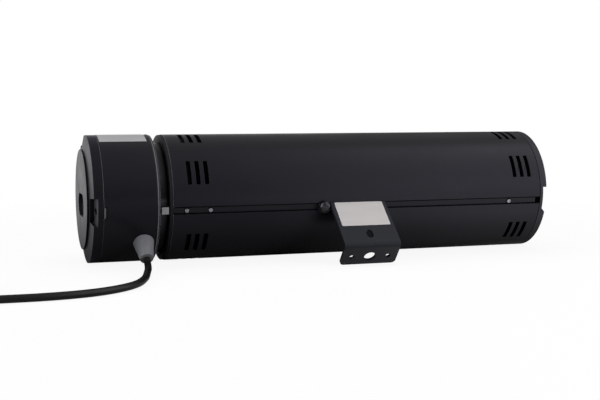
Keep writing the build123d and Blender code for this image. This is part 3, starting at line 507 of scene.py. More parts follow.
def cast_aluminium(name, colour):
    """Bare die-cast aluminium: matt silver with a fine sandy skin."""
    finish = Finish(name, colour, 0.42, metallic=1.0)
    finish.mottle(9.0, 0.08)
    finish.soften(0.4)
    finish.grain(0.8, 0.03, strength=0.5)
    return finish.material


def enamelled_copper(name, colour):
    """Enamelled winding wire: glossy amber over copper, lined with the turns."""
    finish = Finish(name, colour, 0.3, metallic=0.85)
    finish.mottle(3.0, 0.2)
    finish.grain(0.9, 0.12, finish.stretched((1.0, 0.15, 0.15)), 0.7)
    return finish.material


def ground_journal(name, colour, shade_colour, drum_end):
    """A turned neck, bright beside the head and darkened towards the drum's station as painted
    shade under the lip.
    """
    finish = Finish(name, colour, 0.16, metallic=1.0)
    finish.mottle(14.0, 0.07)
    # The painted shade starts 8.5 mm from the drum, and hides the steel in the last millimetre.
    span = {"From Min": (drum_end - 8.5) * MM, "From Max": (drum_end - 1.0) * MM}
    links = {"Value": finish.station()}
    oily = add_node(finish.tree, "ShaderNodeMapRange", span, links).outputs["Result"]
    finish.blend_colour(oily, shade_colour)
    finish.soften(0.3)
    finish.grain(0.4, 0.008, finish.stretched((1.0, 0.08, 0.08)), 0.1)
    return finish.material


def label_film(name, colour, roughness, metallic):
    """Printed polyester film, left blank: flat and even, with a faint coating streak."""
    finish = Finish(name, colour, roughness, metallic)
    finish.mottle(6.0, 0.03, finish.stretched((0.2, 1.0, 1.0)))
    finish.smudge(9.0, 0.05)
    return finish.material


def moulded_rubber(name, colour):
    """Moulded rubber: soft and matt, with a bloom that lightens it in patches."""
    finish = Finish(name, colour, 0.55, IOR=1.52)
    finish.mottle(5.0, 0.08)
    finish.smudge(4.0, 0.05)
    finish.soften(0.5)
    finish.grain(0.5, 0.02, strength=0.4)
    return finish.material


def pvc_sheath(name, colour):
    """Extruded PVC sheath: half glossy, and not quite smooth."""
    finish = Finish(name, colour, 0.38, IOR=1.42)
    finish.mottle(20.0, 0.1)
    finish.smudge(6.0, 0.06)
    finish.grain(1.5, 0.03, strength=0.4)
    return finish.material


def circuit_laminate(name, colour):
    """Green solder mask over glass laminate: glossy and a little uneven in colour."""
    finish = Finish(name, colour, 0.3, IOR=1.55)
    finish.mottle(2.0, 0.12)
    return finish.material


def matt_black(name, colour):
    """Dead matt black, with pits that swallow the light: painted shade behind the vents, in the
    sunk plugs, on the far ring and on the cover screws.
    """
    finish = Finish(name, colour, 1.0, IOR=1.05)
    finish.mottle(1.0, 0.4)
    # The pits are about 0.5 mm across; they are drawn at 0.9 mm so that they show.
    finish.grain(0.9, 0.2, strength=0.9)
    return finish.material


def friction_lining(name, colour):
    """Pressed brake lining: brown, dry and speckled with brass."""
    finish = Finish(name, colour, 0.8, IOR=1.5)
    finish.mottle(1.2, 0.45, detail=6.0)
    finish.grain(0.7, 0.05, strength=0.7)
    return finish.material


# ---------------------------------------------------------------- mesh building
def add_object(name, data):
    """Add an object with this data to the scene."""
    added = bpy.data.objects.new(name, data)
    bpy.context.scene.collection.objects.link(added)
    return added


def finished_mesh(name, shape):
    """Turn a bmesh into a mesh, and free it."""
    mesh = bpy.data.meshes.new(name)
    shape.to_mesh(mesh)
    shape.free()
    return mesh


def new_verts(grown):
    """The vertices among the things that an operator made."""
    return [item for item in grown["geom"] if isinstance(item, bmesh.types.BMVert)]


def make_piece(label, shape, body, finish, replaced=()):
    """Turn a bmesh into a piece that rides on a body."""
    bmesh.ops.remove_doubles(shape, verts=shape.verts, dist=WELD)
    bmesh.ops.recalc_face_normals(shape, faces=shape.faces)
    for face in shape.faces:
        face.smooth = True
    mesh = finished_mesh(label, shape)
    mesh.set_sharp_from_angle(angle=radians(SHARP_EDGE))
    mesh.materials.append(finish)
    piece = add_object(label, mesh)
    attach(piece, body)
    if replaced:
        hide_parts(*replaced)
    return piece


def standing(place, direction):
    """A transform that puts local +Z along a direction, at a place."""
    return Matrix.Translation(place) @ direction.to_track_quat("Z", "Y").to_matrix().to_4x4()


def cross_head(radius, height, arm, depth):
    """A domed screw head with a cross recess, its seat at the origin, as a mesh."""
    # The dome's flat top and the rings below it, as shares of the head's radius and height.
    flat_top = 0.62
    dome = ((0.9, 0.86), (1.0, 0.5), (1.0, 0.0))
    shape = bmesh.new()
    grid = bmesh.ops.create_grid(shape, x_segments=3, y_segments=3, size=1.5 * arm)
    bmesh.ops.translate(shape, verts=grid["verts"], vec=(0, 0, height))
    middles = {face: face.calc_center_median() for face in shape.faces}
    cross = [face for face, middle in middles.items() if min(map(abs, middle.xy)) < arm / 2]
    sunk = bmesh.ops.extrude_face_region(shape, geom=cross)
    bmesh.ops.delete(shape, geom=cross, context="FACES")
    floor = new_verts(sunk)
    bmesh.ops.translate(shape, verts=floor, vec=(0, 0, -depth))
    bmesh.ops.scale(shape, verts=floor, vec=(0.85, 0.85, 1.0))
    rim = bmesh.ops.create_circle(shape, cap_ends=False, segments=24, radius=radius * flat_top)
    bmesh.ops.translate(shape, verts=rim["verts"], vec=(0, 0, height))
    bmesh.ops.bridge_loops(shape, edges=[edge for edge in shape.edges if len(edge.link_faces) < 2])
    edges = [edge for edge in shape.edges if edge.is_boundary]
    for reach, level in dome:
        grown = bmesh.ops.extrude_edge_only(shape, edges=edges)
        verts = new_verts(grown)
        edges = [item for item in grown["geom"] if isinstance(item, bmesh.types.BMEdge)]
        wider = radius * reach / verts[0].co.xy.length
        bmesh.ops.scale(shape, verts=verts, vec=(wider, wider, 1.0))
        bmesh.ops.translate(shape, verts=verts, vec=(0, 0, height * level - verts[0].co.z))
    bmesh.ops.holes_fill(shape, edges=edges)
    return finished_mesh("cross_head", shape)


# The degrees that each step of a ring covers.
ARC_STEP = 1.5


def sector(shape, ends, radii, arc, middle):
    """Add a closed stretch of a ring about the spin axis, its angles in degrees."""
    corners = ((ends[0], radii[0]), (ends[1], radii[0]), (ends[1], radii[1]), (ends[0], radii[1]))
    verts = [shape.verts.new((x, radius, 0.0)) for x, radius in corners]
    face = shape.faces.new(verts)
    start = Matrix.Rotation(radians(middle - arc / 2), 3, "X")
    bmesh.ops.rotate(shape, verts=verts, matrix=start)
    bmesh.ops.spin(
        shape,
        geom=[face, *verts, *face.edges],
        cent=(0, 0, 0),
        axis=(1, 0, 0),
        angle=radians(arc),
        steps=max(2, round(arc / ARC_STEP)),
    )


def add_copy(shape, mesh, transform):
    """Add a copy of a mesh to a bmesh at a transform."""
    before = set(shape.verts)
    shape.from_mesh(mesh)
    added = [vert for vert in shape.verts if vert not in before]
    bmesh.ops.transform(shape, matrix=transform, verts=added)


def solids_of(node):
    """The low corner, the high corner and the points of each separate solid in a CAD node."""
    shape = bmesh.new()
    shape.from_mesh(frame["nodes"][node].data)
    bmesh.ops.remove_doubles(shape, verts=shape.verts, dist=WELD)
    left = set(shape.verts)
    solids = []
    for first in shape.verts:
        if first not in left:
            continue
        left.discard(first)
        queue, points = [first], []
        while queue:
            vert = queue.pop()
            points.append(vert.co.copy())
            others = [edge.other_vert(vert) for edge in vert.link_edges]
            queue += [other for other in others if other in left]
            left.difference_update(others)
        low = Vector(min(axis) for axis in zip(*points))
        high = Vector(max(axis) for axis in zip(*points))
        solids.append((low, high, points))
    shape.free()
    return solids


# ---------------------------------------------------------------- operators
class SHUTTER_OT_materials(bpy.types.Operator):
    """Give each visible part its finish"""

    bl_idname = "shutter.materials"
    bl_label = "Finishes"

    def execute(self, context):
        colours = context.scene.shutter_finishes
        head_rims = [end.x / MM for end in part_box("head_shell")]
        drum_rims = [end.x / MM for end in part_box("drum_upper_shell")]
        lip_start, lip_end = [end.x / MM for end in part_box("drum_left_ring")]
        head = powder_coated_steel(
            "powder coated head",
            colours.casing,
            worn=colours.worn,
            rims=head_rims,
            bead=head_rims[1] - BEAD_INSET,
            bead_share=0.6,
        )
        drum = powder_coated_steel(
            "powder coated drum",
            colours.casing,
            worn=colours.worn,
            rims=drum_rims[:1],
            black=(drum_rims[1] - DARK_END, drum_rims[1] + MARGIN),
        )
        # The lip's dark metallic span under the shell is painted shade.
        lip = powder_coated_steel(
            "powder coated lip", linear("0a0a0c"), 0.6, black=(drum_rims[0], lip_end + MARGIN)
        )
        covers = painted_casting("painted cast aluminium", colours.covers).material
        latch = head_rims[0] + LATCH_INSET
        # The pale colour given to the latches is a painted highlight.
        head_cover = painted_head_cover(
            "painted head cover", colours.covers, linear("6e6e72"), latch
        )
        bolt_steel = blackened_steel("polished black bolt steel", linear("454548"), 0.16)
        # The torque tube and hoops are painted dark as shade inside the drum.
        shaded_drum_steel = blackened_steel("blackened drum steel", linear("1c1d1c"))
        # The neck's darkening towards the drum is painted shade.
        neck = ground_journal("turned neck steel", linear("4a4b4e"), linear("0a0a0a"), lip_start)
        bracket = powder_coated_steel("painted sheet steel", colours.bracket, 0.4)
        groove = powder_coated_steel("powder coated rail", colours.groove, 0.5)
        dark_steel = blackened_steel("blackened steel", colours.fastener)
        zinc = zinc_plated_steel("zinc plated steel", colours.zinc)
        inner_steel = machined_steel("machined steel", linear("8f9196"))
        core = laminated_core_steel("laminated core steel", linear("6f7277"))
        castings = cast_aluminium("cast aluminium", linear("b5b7ba"))
        copper = enamelled_copper("enamelled copper", linear("a85a2c"))
        housings = moulded_nylon("white nylon", linear("c9c8c2"), 0.42)
        finishes = {
            head: ("head_shell",),
            drum: ("drum_upper_shell", "drum_lower_shell"),
            lip: ("drum_left_ring",),
            covers: ("drum_end_cover",),
            head_cover: ("head_end_cover",),
            bracket: ("hanger_bracket",),
            bolt_steel: ("bracket_bolt",),
            groove: ("front_rail", "rear_rail", "groove_end_plugs"),
            dark_steel: ("head_cover_screws", "drum_cover_screws", "groove_screws", "tube_screws"),
            zinc: ("drive_key", "far_axle", "capacitor_saddle"),
            shaded_drum_steel: ("torque_tube", "drum_hoops"),
            # The far ring is dead black as painted shade.
            matt_black("matt black ring oxide", linear("040405")): ("far_ring",),
            neck: ("neck_collar",),
            inner_steel: (
                "bearing_inner_races",
                "bearing_outer_races",
                "rotor_bearings",
                "fixed_ring_gear",
                "star_plate",
                "gearbox_screws",
                "output_ring_gear",
                "drive_disc",
                "drive_screws",
                "rotor_shaft",
                "planet_carrier",
            ),
            core: ("stator_core", "rotor_core"),
            castings: ("motor_can", "can_end_bells"),
            copper: ("stator_windings", "brake_coil"),
            housings: ("board_parts", "terminal_block", "run_capacitor", "cooling_fan"),
            label_film("silver polyester film", colours.film, 0.38, 0.35): ("rating_label",),
            label_film("white polyester film", colours.paper, 0.5, 0.0): ("bracket_label",),
            moulded_rubber("moulded rubber", colours.relief): ("cable_relief",),
            pvc_sheath("pvc sheath", colours.sheath): ("motor_lead",),
            moulded_nylon("black nylon", linear("131315"), 0.4): ("cord_connector",),
            circuit_laminate("circuit laminate", linear("1f5a38")): ("control_board",),
            friction_lining("friction lining", linear("4a3a2e")): ("brake_disc",),
        }
        planets = [name for name in frame["nodes"] if "planet_" in name or "star_gear" in name]
        finishes[inner_steel] += tuple(name for name in planets if name != "planet_carrier")
        for finish, names in finishes.items():
            for name in names:
                surfaces = frame["nodes"][name].data.materials
                surfaces.clear()
                surfaces.append(finish)
        return {"FINISHED"}


# The lead's route, point by point, from the relief's tip to the coil, and from the coil to its
# connector. The points were given one by one to follow how the lead lies, and its middle is at
# this height where it rests on the floor.
FLOOR_Z = -0.0609
LEAD_ROUTE = (
    (0.0538, -0.06793, -0.05307),
    (0.0538, -0.0777, FLOOR_Z),
    (0.0488, -0.099, FLOOR_Z),
    (0.041, -0.136, FLOOR_Z),
    (0.026, -0.17, FLOOR_Z),
    (-0.006, -0.194, FLOOR_Z),
    (-0.046, -0.203, FLOOR_Z),
    (-0.09, -0.2025, FLOOR_Z),
)
TAIL_ROUTE = (
    (-0.1876, -0.138, FLOOR_Z + 0.006),
    (-0.185, -0.114, FLOOR_Z + 0.0008),
    (-0.178, -0.092, FLOOR_Z + 0.001),
    (-0.168, -0.074, FLOOR_Z + 0.0031),
)
# Each ring of the coil runs level for most of a turn, then steps over or up to the next one.
# The numbers are degrees of winding, the ring counted from outside and the layer.
COIL_STEPS = (
    (0, 0, 0),
    (300, 0, 0),
    (360, 1, 0),
    (660, 1, 0),
    (720, 2, 0),
    (960, 2, 0),
    (1020, 2, 1),
    (1240, 2, 1),
    (1300, 1, 1),
    (1600, 1, 1),
    (1660, 0, 1),
    (1890, 0, 1),
)
POINT_EVERY = 15
# The tie goes round the coil's three rings and two layers at this angle.
TIE_ANGLE = 35
TIE_CLEARANCE = 0.4 * MM
TIE_CORNER = 2.4 * MM
TIE_WALL = 0.7 * MM


def coil_route(diameter):
    """Points round the coil, in at the bottom layer's outside and out at the top layer's."""
    outer_r = (coil_high.x - coil_low.x) / 2 - diameter / 2
    points = []
    for (start, ring, layer), (end, next_ring, next_layer) in zip(COIL_STEPS, COIL_STEPS[1:]):
        steps = (end - start) // POINT_EVERY
        for step in range(steps):
            share = step / steps
            angle = radians(-90 - start - step * POINT_EVERY)
            radius = outer_r - diameter * (ring + share * (next_ring - ring))
            height = FLOOR_Z + diameter * (layer + share * (next_layer - layer))
            x = coil_centre.x + radius * cos(angle)
            points.append((x, coil_centre.y + radius * sin(angle), height))
    return points


class SHUTTER_OT_lead(bpy.types.Operator):
    """Lay the mains lead from the relief to its coil and connector"""

    bl_idname = "shutter.lead"
    bl_label = "Mains lead"

    def execute(self, context):
        sizes = context.scene.shutter_sizes
        route = [*LEAD_ROUTE, *coil_route(sizes.lead_diameter), *TAIL_ROUTE]
        curve = bpy.data.curves.new("mains_lead", "CURVE")
        curve.dimensions = "3D"
        curve.bevel_depth = sizes.lead_diameter / 2
        curve.bevel_resolution = 5
        curve.resolution_u = 6
        curve.use_fill_caps = True
        line = curve.splines.new("NURBS")
        line.points.add(len(route) - 1)
        for point, place in zip(line.points, route):
            point.co = (*place, 1.0)
        line.order_u = 3
        line.use_endpoint_u = True
        lead = add_object("mains_lead", curve)
        curve.materials.append(pvc_sheath("lead sheath", context.scene.shutter_finishes.sheath))
        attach(lead, "head")
        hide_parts("mains_cord", "cord_coil", "cord_tail")
        tie = self.add_tie(context)
        return {"FINISHED"}

    def add_tie(self, context):
        """Wrap a thin band round the coil's bundle."""
        sizes = context.scene.shutter_sizes
        shape = bmesh.new()
        half_bundle = 1.5 * sizes.lead_diameter
        half_w = half_bundle + TIE_CLEARANCE
        half_h = (coil_high.z - coil_low.z) / 2 + TIE_CLEARANCE
        grid = bmesh.ops.create_grid(shape, x_segments=1, y_segments=1, size=1.0)
        bmesh.ops.scale(shape, verts=grid["verts"], vec=(half_w, half_h, 1.0))
        bmesh.ops.bevel(
            shape,
            geom=shape.verts[:],
            offset=TIE_CORNER,
            affect="VERTICES",
            segments=5,
            profile=0.5,
            material=-1,
        )
        bmesh.ops.translate(shape, verts=shape.verts, vec=(0, 0, -sizes.tie_width / 2))
        grown = bmesh.ops.extrude_face_region(shape, geom=shape.faces[:])
        bmesh.ops.translate(shape, verts=new_verts(grown), vec=(0, 0, sizes.tie_width))
        ends = [face for face in shape.faces if abs(face.normal.z) > 0.9]
        bmesh.ops.delete(shape, geom=ends, context="FACES_ONLY")
        bmesh.ops.solidify(shape, geom=shape.faces[:], thickness=TIE_WALL)
        around = Matrix.Rotation(radians(TIE_ANGLE), 4, "Z")
        middle = Vector(((coil_high.x - coil_low.x) / 2 - half_bundle, 0.0, TIE_CLEARANCE))
        place = Matrix.Translation(coil_centre + around @ middle)
        turn = around @ Matrix.Rotation(radians(90), 4, "X")
        bmesh.ops.transform(shape, matrix=place @ turn, verts=shape.verts)
        return make_piece("lead_tie", shape, "head", moulded_nylon("tie nylon", linear("1a1a1c")))


# The rails' section, with depths from the drum's outside.
SEAM_ANGLE = 187.5
RAIL_ARC = 18.0
FOOT_DEPTH = 2.4 * MM
STRIP_DEPTH = 1.6 * MM
FOOT_THICKNESS = 3.4 * MM
# The shells' bore, and the matt black lining between the rails that stands in for the shade behind
# the vents.
BORE_R = casing_r - 2.2 * MM
LINING_L = 21.0 * MM
LINING_ARC = 150.0
LINING_DEPTH = 2.0 * MM
# The plugs sunk in the grooves' right ends, and the gap left between pieces.
PLUG_THICKNESS = 0.5 * MM
PLUG_NARROWER = 0.6 * MM
GAP = 0.2 * MM


class SHUTTER_OT_rails(bpy.types.Operator):
    """Make the rails under the grooves, each a wide foot with a narrow strip on it"""

    bl_idname = "shutter.rails"
    bl_label = "Groove rails"

    def execute(self, context):
        sizes = context.scene.shutter_sizes
        colour = context.scene.shutter_finishes.groove
        finish = powder_coated_steel("powder coated rail strip", colour, 0.5)
        for node, middle in (("front_rail", SEAM_ANGLE), ("rear_rail", SEAM_ANGLE - 180.0)):
            low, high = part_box(node)
            ends = (low.x, high.x + sizes.strip_overlap)
            foot_r = casing_r - FOOT_DEPTH
            strip_r = casing_r - STRIP_DEPTH
            channel_r = foot_r - sizes.channel_depth
            strip = degrees((sizes.groove_width - 2 * sizes.channel_width) / strip_r)
            side = (RAIL_ARC - strip) / 2 - degrees(sizes.channel_width / strip_r)
            shape = bmesh.new()
            sector(shape, ends, (foot_r - FOOT_THICKNESS, channel_r), RAIL_ARC, middle)
            sector(shape, ends, (channel_r, strip_r), strip, middle)
            for turn in (-1, 1):
                centre = middle + turn * (RAIL_ARC - side) / 2
                sector(shape, ends, (channel_r, foot_r), side, centre)
            make_piece(f"channelled_{node}", shape, "drum", finish, (node,))
        self.add_plugs(sizes)
        self.add_shade_lining()
        return {"FINISHED"}

    def add_plugs(self, sizes):
        """Sink the plugs at the grooves' right ends, their floors matt black as painted shade, so
        that each groove ends in a dark well.
        """
        finish = matt_black("matt black plug foam", linear("020203"))
        shape = bmesh.new()
        low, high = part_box("groove_end_plugs")
        ends = (low.x + sizes.strip_overlap + GAP, high.x)
        width = degrees((sizes.groove_width - PLUG_NARROWER) / casing_r)
        for turn in (0.0, 180.0):
            sector(shape, ends, (BORE_R, BORE_R + PLUG_THICKNESS), width, SEAM_ANGLE + turn)
        make_piece("sunk_end_plugs", shape, "drum", finish, ("groove_end_plugs",))

    def add_shade_lining(self):
        """Line the shells behind the vents with a thin matt black lining: painted shade, which
        also keeps light from passing through.
        """
        finish = matt_black("filter foam", linear("020203"))
        shape = bmesh.new()
        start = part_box("drum_left_ring")[1].x + GAP
        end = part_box("far_ring")[0].x - GAP
        for ends in ((start, start + LINING_L), (end - LINING_L, end)):
            for turn in (0.0, 180.0):
                middle = SEAM_ANGLE + turn - 90.0
                sector(shape, ends, (BORE_R - LINING_DEPTH, BORE_R - GAP), LINING_ARC, middle)
        make_piece("vent_foam", shape, "drum", finish)


class SHUTTER_OT_bracket(bpy.types.Operator):
    """Make the hanger bracket with a slot in its plate"""

    bl_idname = "shutter.bracket"
    bl_label = "Bracket"

    def execute(self, context):
        sizes = context.scene.shutter_sizes
        node = frame["nodes"]["hanger_bracket"]
        mounts = {mount["name"]: mount for mount in frame["record"]["mounts"]}
        hole = mounts["plate_hole"]
        centre, axis = Vector(hole["pos_m"]), Vector(hole["axis"])
        hole_r = hole["dims"]["r_mm"] * MM
        down = Vector((1, 0, 0)).cross(axis).normalized()
        shape = bmesh.new()
        shape.from_mesh(node.data)
        bmesh.ops.remove_doubles(shape, verts=shape.verts, dist=WELD)
        rim = []
        for vert in shape.verts:
            spread = (vert.co - centre) - axis * (vert.co - centre).dot(axis)
            if spread.length < hole_r + MARGIN * MM:
                rim.append(vert)
        if not rim:
            raise RuntimeError("the plate's hole was not found")
        wider = sizes.slot_width / (2 * hole_r)
        to_hole = Matrix.Translation(-centre)
        bmesh.ops.scale(shape, verts=rim, vec=(wider, wider, wider), space=to_hole)
        shift = down * (sizes.slot_length - sizes.slot_width) / 2
        for side in (-1, 1):
            half = [vert for vert in rim if side * (vert.co - centre).dot(down) > 0]
            bmesh.ops.translate(shape, verts=half, vec=shift * side)
        for vert in rim:
            depth = (vert.co - centre).dot(axis)
            vert.co += axis * (depth / wider - depth)
        finish = node.data.materials[0]
        make_piece("slotted_hanger_bracket", shape, "drum", finish, ("hanger_bracket",))
        return {"FINISHED"}


# The heads of the grooves' screws and of the covers', each a radius and a height.
GROOVE_HEAD = (2.1 * MM, 1.1 * MM)
COVER_HEAD = (3.1 * MM, 1.4 * MM)
SHANK_R = 2.0 * MM
GROOVE_SHANK = 4.8 * MM
# The dark rings under the grooves' heads, painted shade round each head, each rising a little past
# its head's seat.
SHADE_RING_FOOT_R = 3.1 * MM
SHADE_RING_TOP_R = 2.7 * MM
SHADE_RING_THICKNESS = 0.4 * MM
SHADE_RING_RISE = 0.1 * MM


class SHUTTER_OT_screws(bpy.types.Operator):
    """Give the screws in the grooves and covers their cross recesses"""

    bl_idname = "shutter.screws"
    bl_label = "Screws"

    def execute(self, context):
        sizes = context.scene.shutter_sizes
        colours = context.scene.shutter_finishes
        # The cover screws are dead black as painted shade in their pockets.
        screw_shade = matt_black("matt black screw oxide", linear("020203"))
        bright = zinc_plated_steel("zinc plated screw steel", colours.zinc)
        # The dark rings round the groove screws are painted shade.
        shade_rings = blackened_steel("blackened washer steel", linear("161617"))
        self.groove_heads(sizes, bright, shade_rings)
        self.cover_heads("head_cover_screws", "head", -1, sizes, screw_shade)
        self.cover_heads("drum_cover_screws", "drum", 1, sizes, screw_shade)
        return {"FINISHED"}

    def groove_heads(self, sizes, finish, shade_ring_finish):
        """Heads that stand along a radius at the bottom of each groove, each on a dark ring of
        painted shade.
        """
        shape = bmesh.new()
        shade_rings = bmesh.new()
        radius, height = GROOVE_HEAD
        head = cross_head(radius, height, sizes.recess_arm, sizes.recess_depth)
        for low, high, points in solids_of("groove_screws"):
            middle = (low + high) / 2
            outward = Vector((0, middle.y, middle.z)).normalized()
            top = max(point.dot(outward) for point in points)
            place = Vector((middle.x, 0, 0)) + outward * (top - height)
            add_copy(shape, head, standing(place, outward))
            self.shank(shape, place, outward, GROOVE_SHANK)
            disc = bmesh.ops.create_cone(
                shade_rings,
                cap_ends=True,
                segments=32,
                radius1=SHADE_RING_FOOT_R,
                radius2=SHADE_RING_TOP_R,
                depth=SHADE_RING_THICKNESS,
            )
            seat = standing(place - outward * (SHADE_RING_THICKNESS / 2 - SHADE_RING_RISE), outward)
            bmesh.ops.transform(shade_rings, matrix=seat, verts=disc["verts"])
        bpy.data.meshes.remove(head)
        make_piece("groove_cross_screws", shape, "drum", finish, ("groove_screws",))
        make_piece("groove_washers", shade_rings, "drum", shade_ring_finish)

    def shank(self, shape, place, outward, length):
        """Add the plain shank under a head whose seat is at a place."""
        grown = bmesh.ops.create_cone(
            shape, cap_ends=True, segments=16, radius1=SHANK_R, radius2=SHANK_R, depth=length
        )
        transform = standing(place - outward * length / 2, outward)
        bmesh.ops.transform(shape, matrix=transform, verts=grown["verts"])

    def cover_heads(self, node, body, side, sizes, finish):
        """Heads that face along the spin axis at the bottom of a cover's pockets."""
        shape = bmesh.new()
        radius, height = COVER_HEAD
        head = cross_head(radius, height, sizes.recess_arm, sizes.recess_depth)
        outward = Vector((side, 0, 0))
        for low, high, _ in solids_of(node):
            middle = (low + high) / 2
            outer_x = high.x if side > 0 else low.x
            place = Vector((outer_x - side * height, middle.y, middle.z))
            add_copy(shape, head, standing(place, outward))
            self.shank(shape, place, outward, high.x - low.x - height)
        bpy.data.meshes.remove(head)
        make_piece(node.replace("screws", "cross_screws"), shape, body, finish, (node,))


# The regions of two glows, as brightest() takes them.
# The floor in gloss: bright behind, in front and more so towards the right, under the right of
# the drum, and half as bright at the left.
FLOOR_GLOW = (
    (("Y", 0.02, 0.8, 0.0, 1.0),),
    (("Y", -0.01, -0.12, 0.0, 1.0), ("X", 0.15, 0.5, 0.22, 1.0)),
    (("Y", -0.08, 0.25, 0.0, 0.9), ("X", 0.33, 0.55, 0.0, 1.0)),
    (("X", 0.0, -0.15, 0.0, 0.5),),
)
# The tent in gloss: bright behind, less so towards the right, dimmer overhead, a tall soft light
# in front at the right, brightest at the left, and dark where the lens stands.
TENT_GLOW = (
    (("Y", 0.75, 1.0, 0.06, 0.52), ("X", 0.28, 0.5, 1.0, 0.5)),
    (("Z", 0.0, 0.95, 0.06, 0.36),),
    (("Y", 0.5, -0.05, 0.0, 1.3), ("X", 0.15, 0.45, 0.0, 1.0)),
    (("X", -0.12, -0.6, 0.0, 1.8),),
)
# The softboxes, each with its place and its width. They face the drum.
LAMPS = {
    "top": ((0.25, 0.3, 1.2), 1.2),
    "left": ((-1.2, -0.3, 0.5), 0.9),
    "front": ((1.1, -1.1, 0.25), 0.6),
}
LAMP_AIM = (0.25, 0.0, 0.0)
FLOOR_REACH = 9.0
# The even glow that lights the object, and is not seen.
SOFT_STRENGTH = 0.3
# The shadow that the lens sees fades between these distances from the object's middle.
SHADOW_MIDDLE = (0.2, -0.03, table_z)
SHADOW_FADE = {"From Min": 0.3, "From Max": 0.9, "To Min": 0.9, "To Max": 1.0}
WHITE = (1.0, 1.0, 1.0, 1.0)


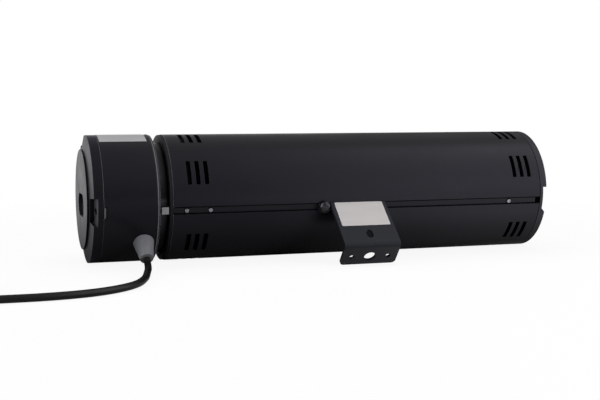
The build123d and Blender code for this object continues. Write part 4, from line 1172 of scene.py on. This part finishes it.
class SHUTTER_OT_stage(bpy.types.Operator):
    """Set the floor, the camera, the lamps and the background"""

    bl_idname = "shutter.stage"
    bl_label = "Studio"

    def execute(self, context):
        studio = context.scene.shutter_studio
        self.add_floor()
        self.add_camera(context, studio)
        for name, (place, width) in LAMPS.items():
            self.add_lamp(name, place, width, getattr(studio, f"{name}_power"))
        self.set_world(context)
        context.scene.view_settings.view_transform = "Standard"
        return {"FINISHED"}

    def add_floor(self):
        """Lay a pale floor that the lens sees as white and that keeps the shadow."""
        shape = bmesh.new()
        bmesh.ops.create_grid(shape, x_segments=1, y_segments=1, size=FLOOR_REACH)
        bmesh.ops.translate(shape, verts=shape.verts, vec=(0, 0, table_z - GAP))
        mesh = finished_mesh("floor", shape)
        floor = add_object("floor", mesh)
        material = bpy.data.materials.new("matt white floor")
        material.use_nodes = True
        tree = material.node_tree
        shader = tree.nodes["Principled BSDF"]
        shader.inputs["Base Color"].default_value = (0.12, 0.12, 0.12, 1.0)
        shader.inputs["Roughness"].default_value = 0.9
        shader.inputs["Specular IOR Level"].default_value = 0.1
        place = add_node(tree, "ShaderNodeTexCoord").outputs["Object"]
        glow = add_node(tree, "ShaderNodeEmission", {"Color": WHITE, "Strength": 1.0})
        pale = add_node(tree, "ShaderNodeBsdfDiffuse", {"Color": WHITE}).outputs["BSDF"]
        dark, white = shader.outputs["BSDF"], glow.outputs["Emission"]
        share = brightest(tree, place, FLOOR_GLOW)
        links = {0: share, 1: dark, 2: white}
        in_gloss = add_node(tree, "ShaderNodeMixShader", None, links).outputs[0]
        # Far away the glow is whole, so that the floor has no edge. Near the object it gives
        # way a little to the shadow.
        settings = {"operation": "DISTANCE", 1: SHADOW_MIDDLE}
        away = add_node(tree, "ShaderNodeVectorMath", settings, {0: place}).outputs["Value"]
        settings = {"interpolation_type": "SMOOTHSTEP", **SHADOW_FADE}
        clear = add_node(tree, "ShaderNodeMapRange", settings, {"Value": away}).outputs["Result"]
        links = {0: clear, 1: pale, 2: white}
        to_lens = add_node(tree, "ShaderNodeMixShader", None, links).outputs[0]
        seen, glossy = kinds_of_ray(tree)
        links = {0: glossy, 1: dark, 2: in_gloss}
        other = add_node(tree, "ShaderNodeMixShader", None, links).outputs[0]
        both = add_node(tree, "ShaderNodeMixShader", None, {0: seen, 1: other, 2: to_lens})
        tree.links.new(both.outputs["Shader"], tree.nodes["Material Output"].inputs["Surface"])
        mesh.materials.append(material)

    def stand(self, name, data, place, direction):
        """Stand a camera or a lamp at a place, looking along a direction."""
        holder = add_object(name, data)
        holder.location = place
        holder.rotation_mode = "QUATERNION"
        holder.rotation_quaternion = direction.to_track_quat("-Z", "Y")
        return holder

    def add_camera(self, context, studio):
        """Stand the camera to the left of the middle, a little above the axis."""
        lens = bpy.data.cameras.new("camera")
        lens.lens = studio.lens
        lens.sensor_width = 36.0
        aim = Vector(studio.camera_aim)
        context.scene.camera = self.stand("camera", lens, studio.camera_place, aim)

    def add_lamp(self, name, place, width, power):
        """Hang a square softbox that faces the object."""
        lamp = bpy.data.lights.new(name, "AREA")
        lamp.size = width
        lamp.energy = power
        holder = self.stand(name, lamp, place, Vector(LAMP_AIM) - Vector(place))
        # The tent alone shows in the object's gloss.
        holder.visible_glossy = False

    def set_world(self, context):
        """White behind everything, and a dimmer even glow for the light it gives."""
        world = bpy.data.worlds.new("studio")
        context.scene.world = world
        world.use_nodes = True
        tree = world.node_tree
        soft = add_node(tree, "ShaderNodeBackground", {"Color": WHITE, "Strength": SOFT_STRENGTH})
        seen, glossy = kinds_of_ray(tree)
        outward = add_node(tree, "ShaderNodeTexCoord").outputs["Generated"]
        tent = brightest(tree, outward, TENT_GLOW)
        strength = add_node(tree, "ShaderNodeMath", LARGER, {0: seen, 1: tent}).outputs[0]
        links = {"Strength": strength}
        white = add_node(tree, "ShaderNodeBackground", {"Color": WHITE}, links)
        shown = add_node(tree, "ShaderNodeMath", LARGER, {0: seen, 1: glossy}).outputs[0]
        links = {0: shown, 1: soft.outputs["Background"], 2: white.outputs["Background"]}
        both = add_node(tree, "ShaderNodeMixShader", None, links)
        tree.links.new(both.outputs["Shader"], tree.nodes["World Output"].inputs["Surface"])


class SHUTTER_PT_panel(bpy.types.Panel):
    """Lists what the add-on makes"""

    bl_idname = "SHUTTER_PT_panel"
    bl_label = "Shutter motor"
    bl_space_type = "VIEW_3D"
    bl_region_type = "UI"
    bl_category = "Shutter motor"

    def draw(self, context):
        for operator in OPERATORS:
            self.layout.operator(operator.bl_idname)
        for group in GROUPS:
            settings = getattr(context.scene, group)
            for name in settings.bl_rna.properties.keys():
                if name not in ("rna_type", "name"):
                    self.layout.prop(settings, name)


GROUPS = {
    "shutter_finishes": ShutterMotorFinishes,
    "shutter_sizes": ShutterMotorSizes,
    "shutter_studio": ShutterMotorStudio,
}
OPERATORS = (
    SHUTTER_OT_materials,
    SHUTTER_OT_lead,
    SHUTTER_OT_rails,
    SHUTTER_OT_bracket,
    SHUTTER_OT_screws,
    SHUTTER_OT_stage,
)


def register():
    """Make the settings, the operators and the panel known."""
    for made in (*GROUPS.values(), *OPERATORS, SHUTTER_PT_panel):
        bpy.utils.register_class(made)
    for name, group in GROUPS.items():
        setattr(bpy.types.Scene, name, bpy.props.PointerProperty(type=group))


def unregister():
    """Take the settings, the operators and the panel away again."""
    for name in GROUPS:
        delattr(bpy.types.Scene, name)
    for made in (SHUTTER_PT_panel, *reversed(OPERATORS), *reversed(GROUPS.values())):
        bpy.utils.unregister_class(made)


def main():
    """Dress the object."""
    register()
    bpy.ops.shutter.materials()
    bpy.ops.shutter.lead()
    bpy.ops.shutter.rails()
    bpy.ops.shutter.bracket()
    bpy.ops.shutter.screws()
    bpy.ops.shutter.stage()


if __name__ == "__main__":
    main()
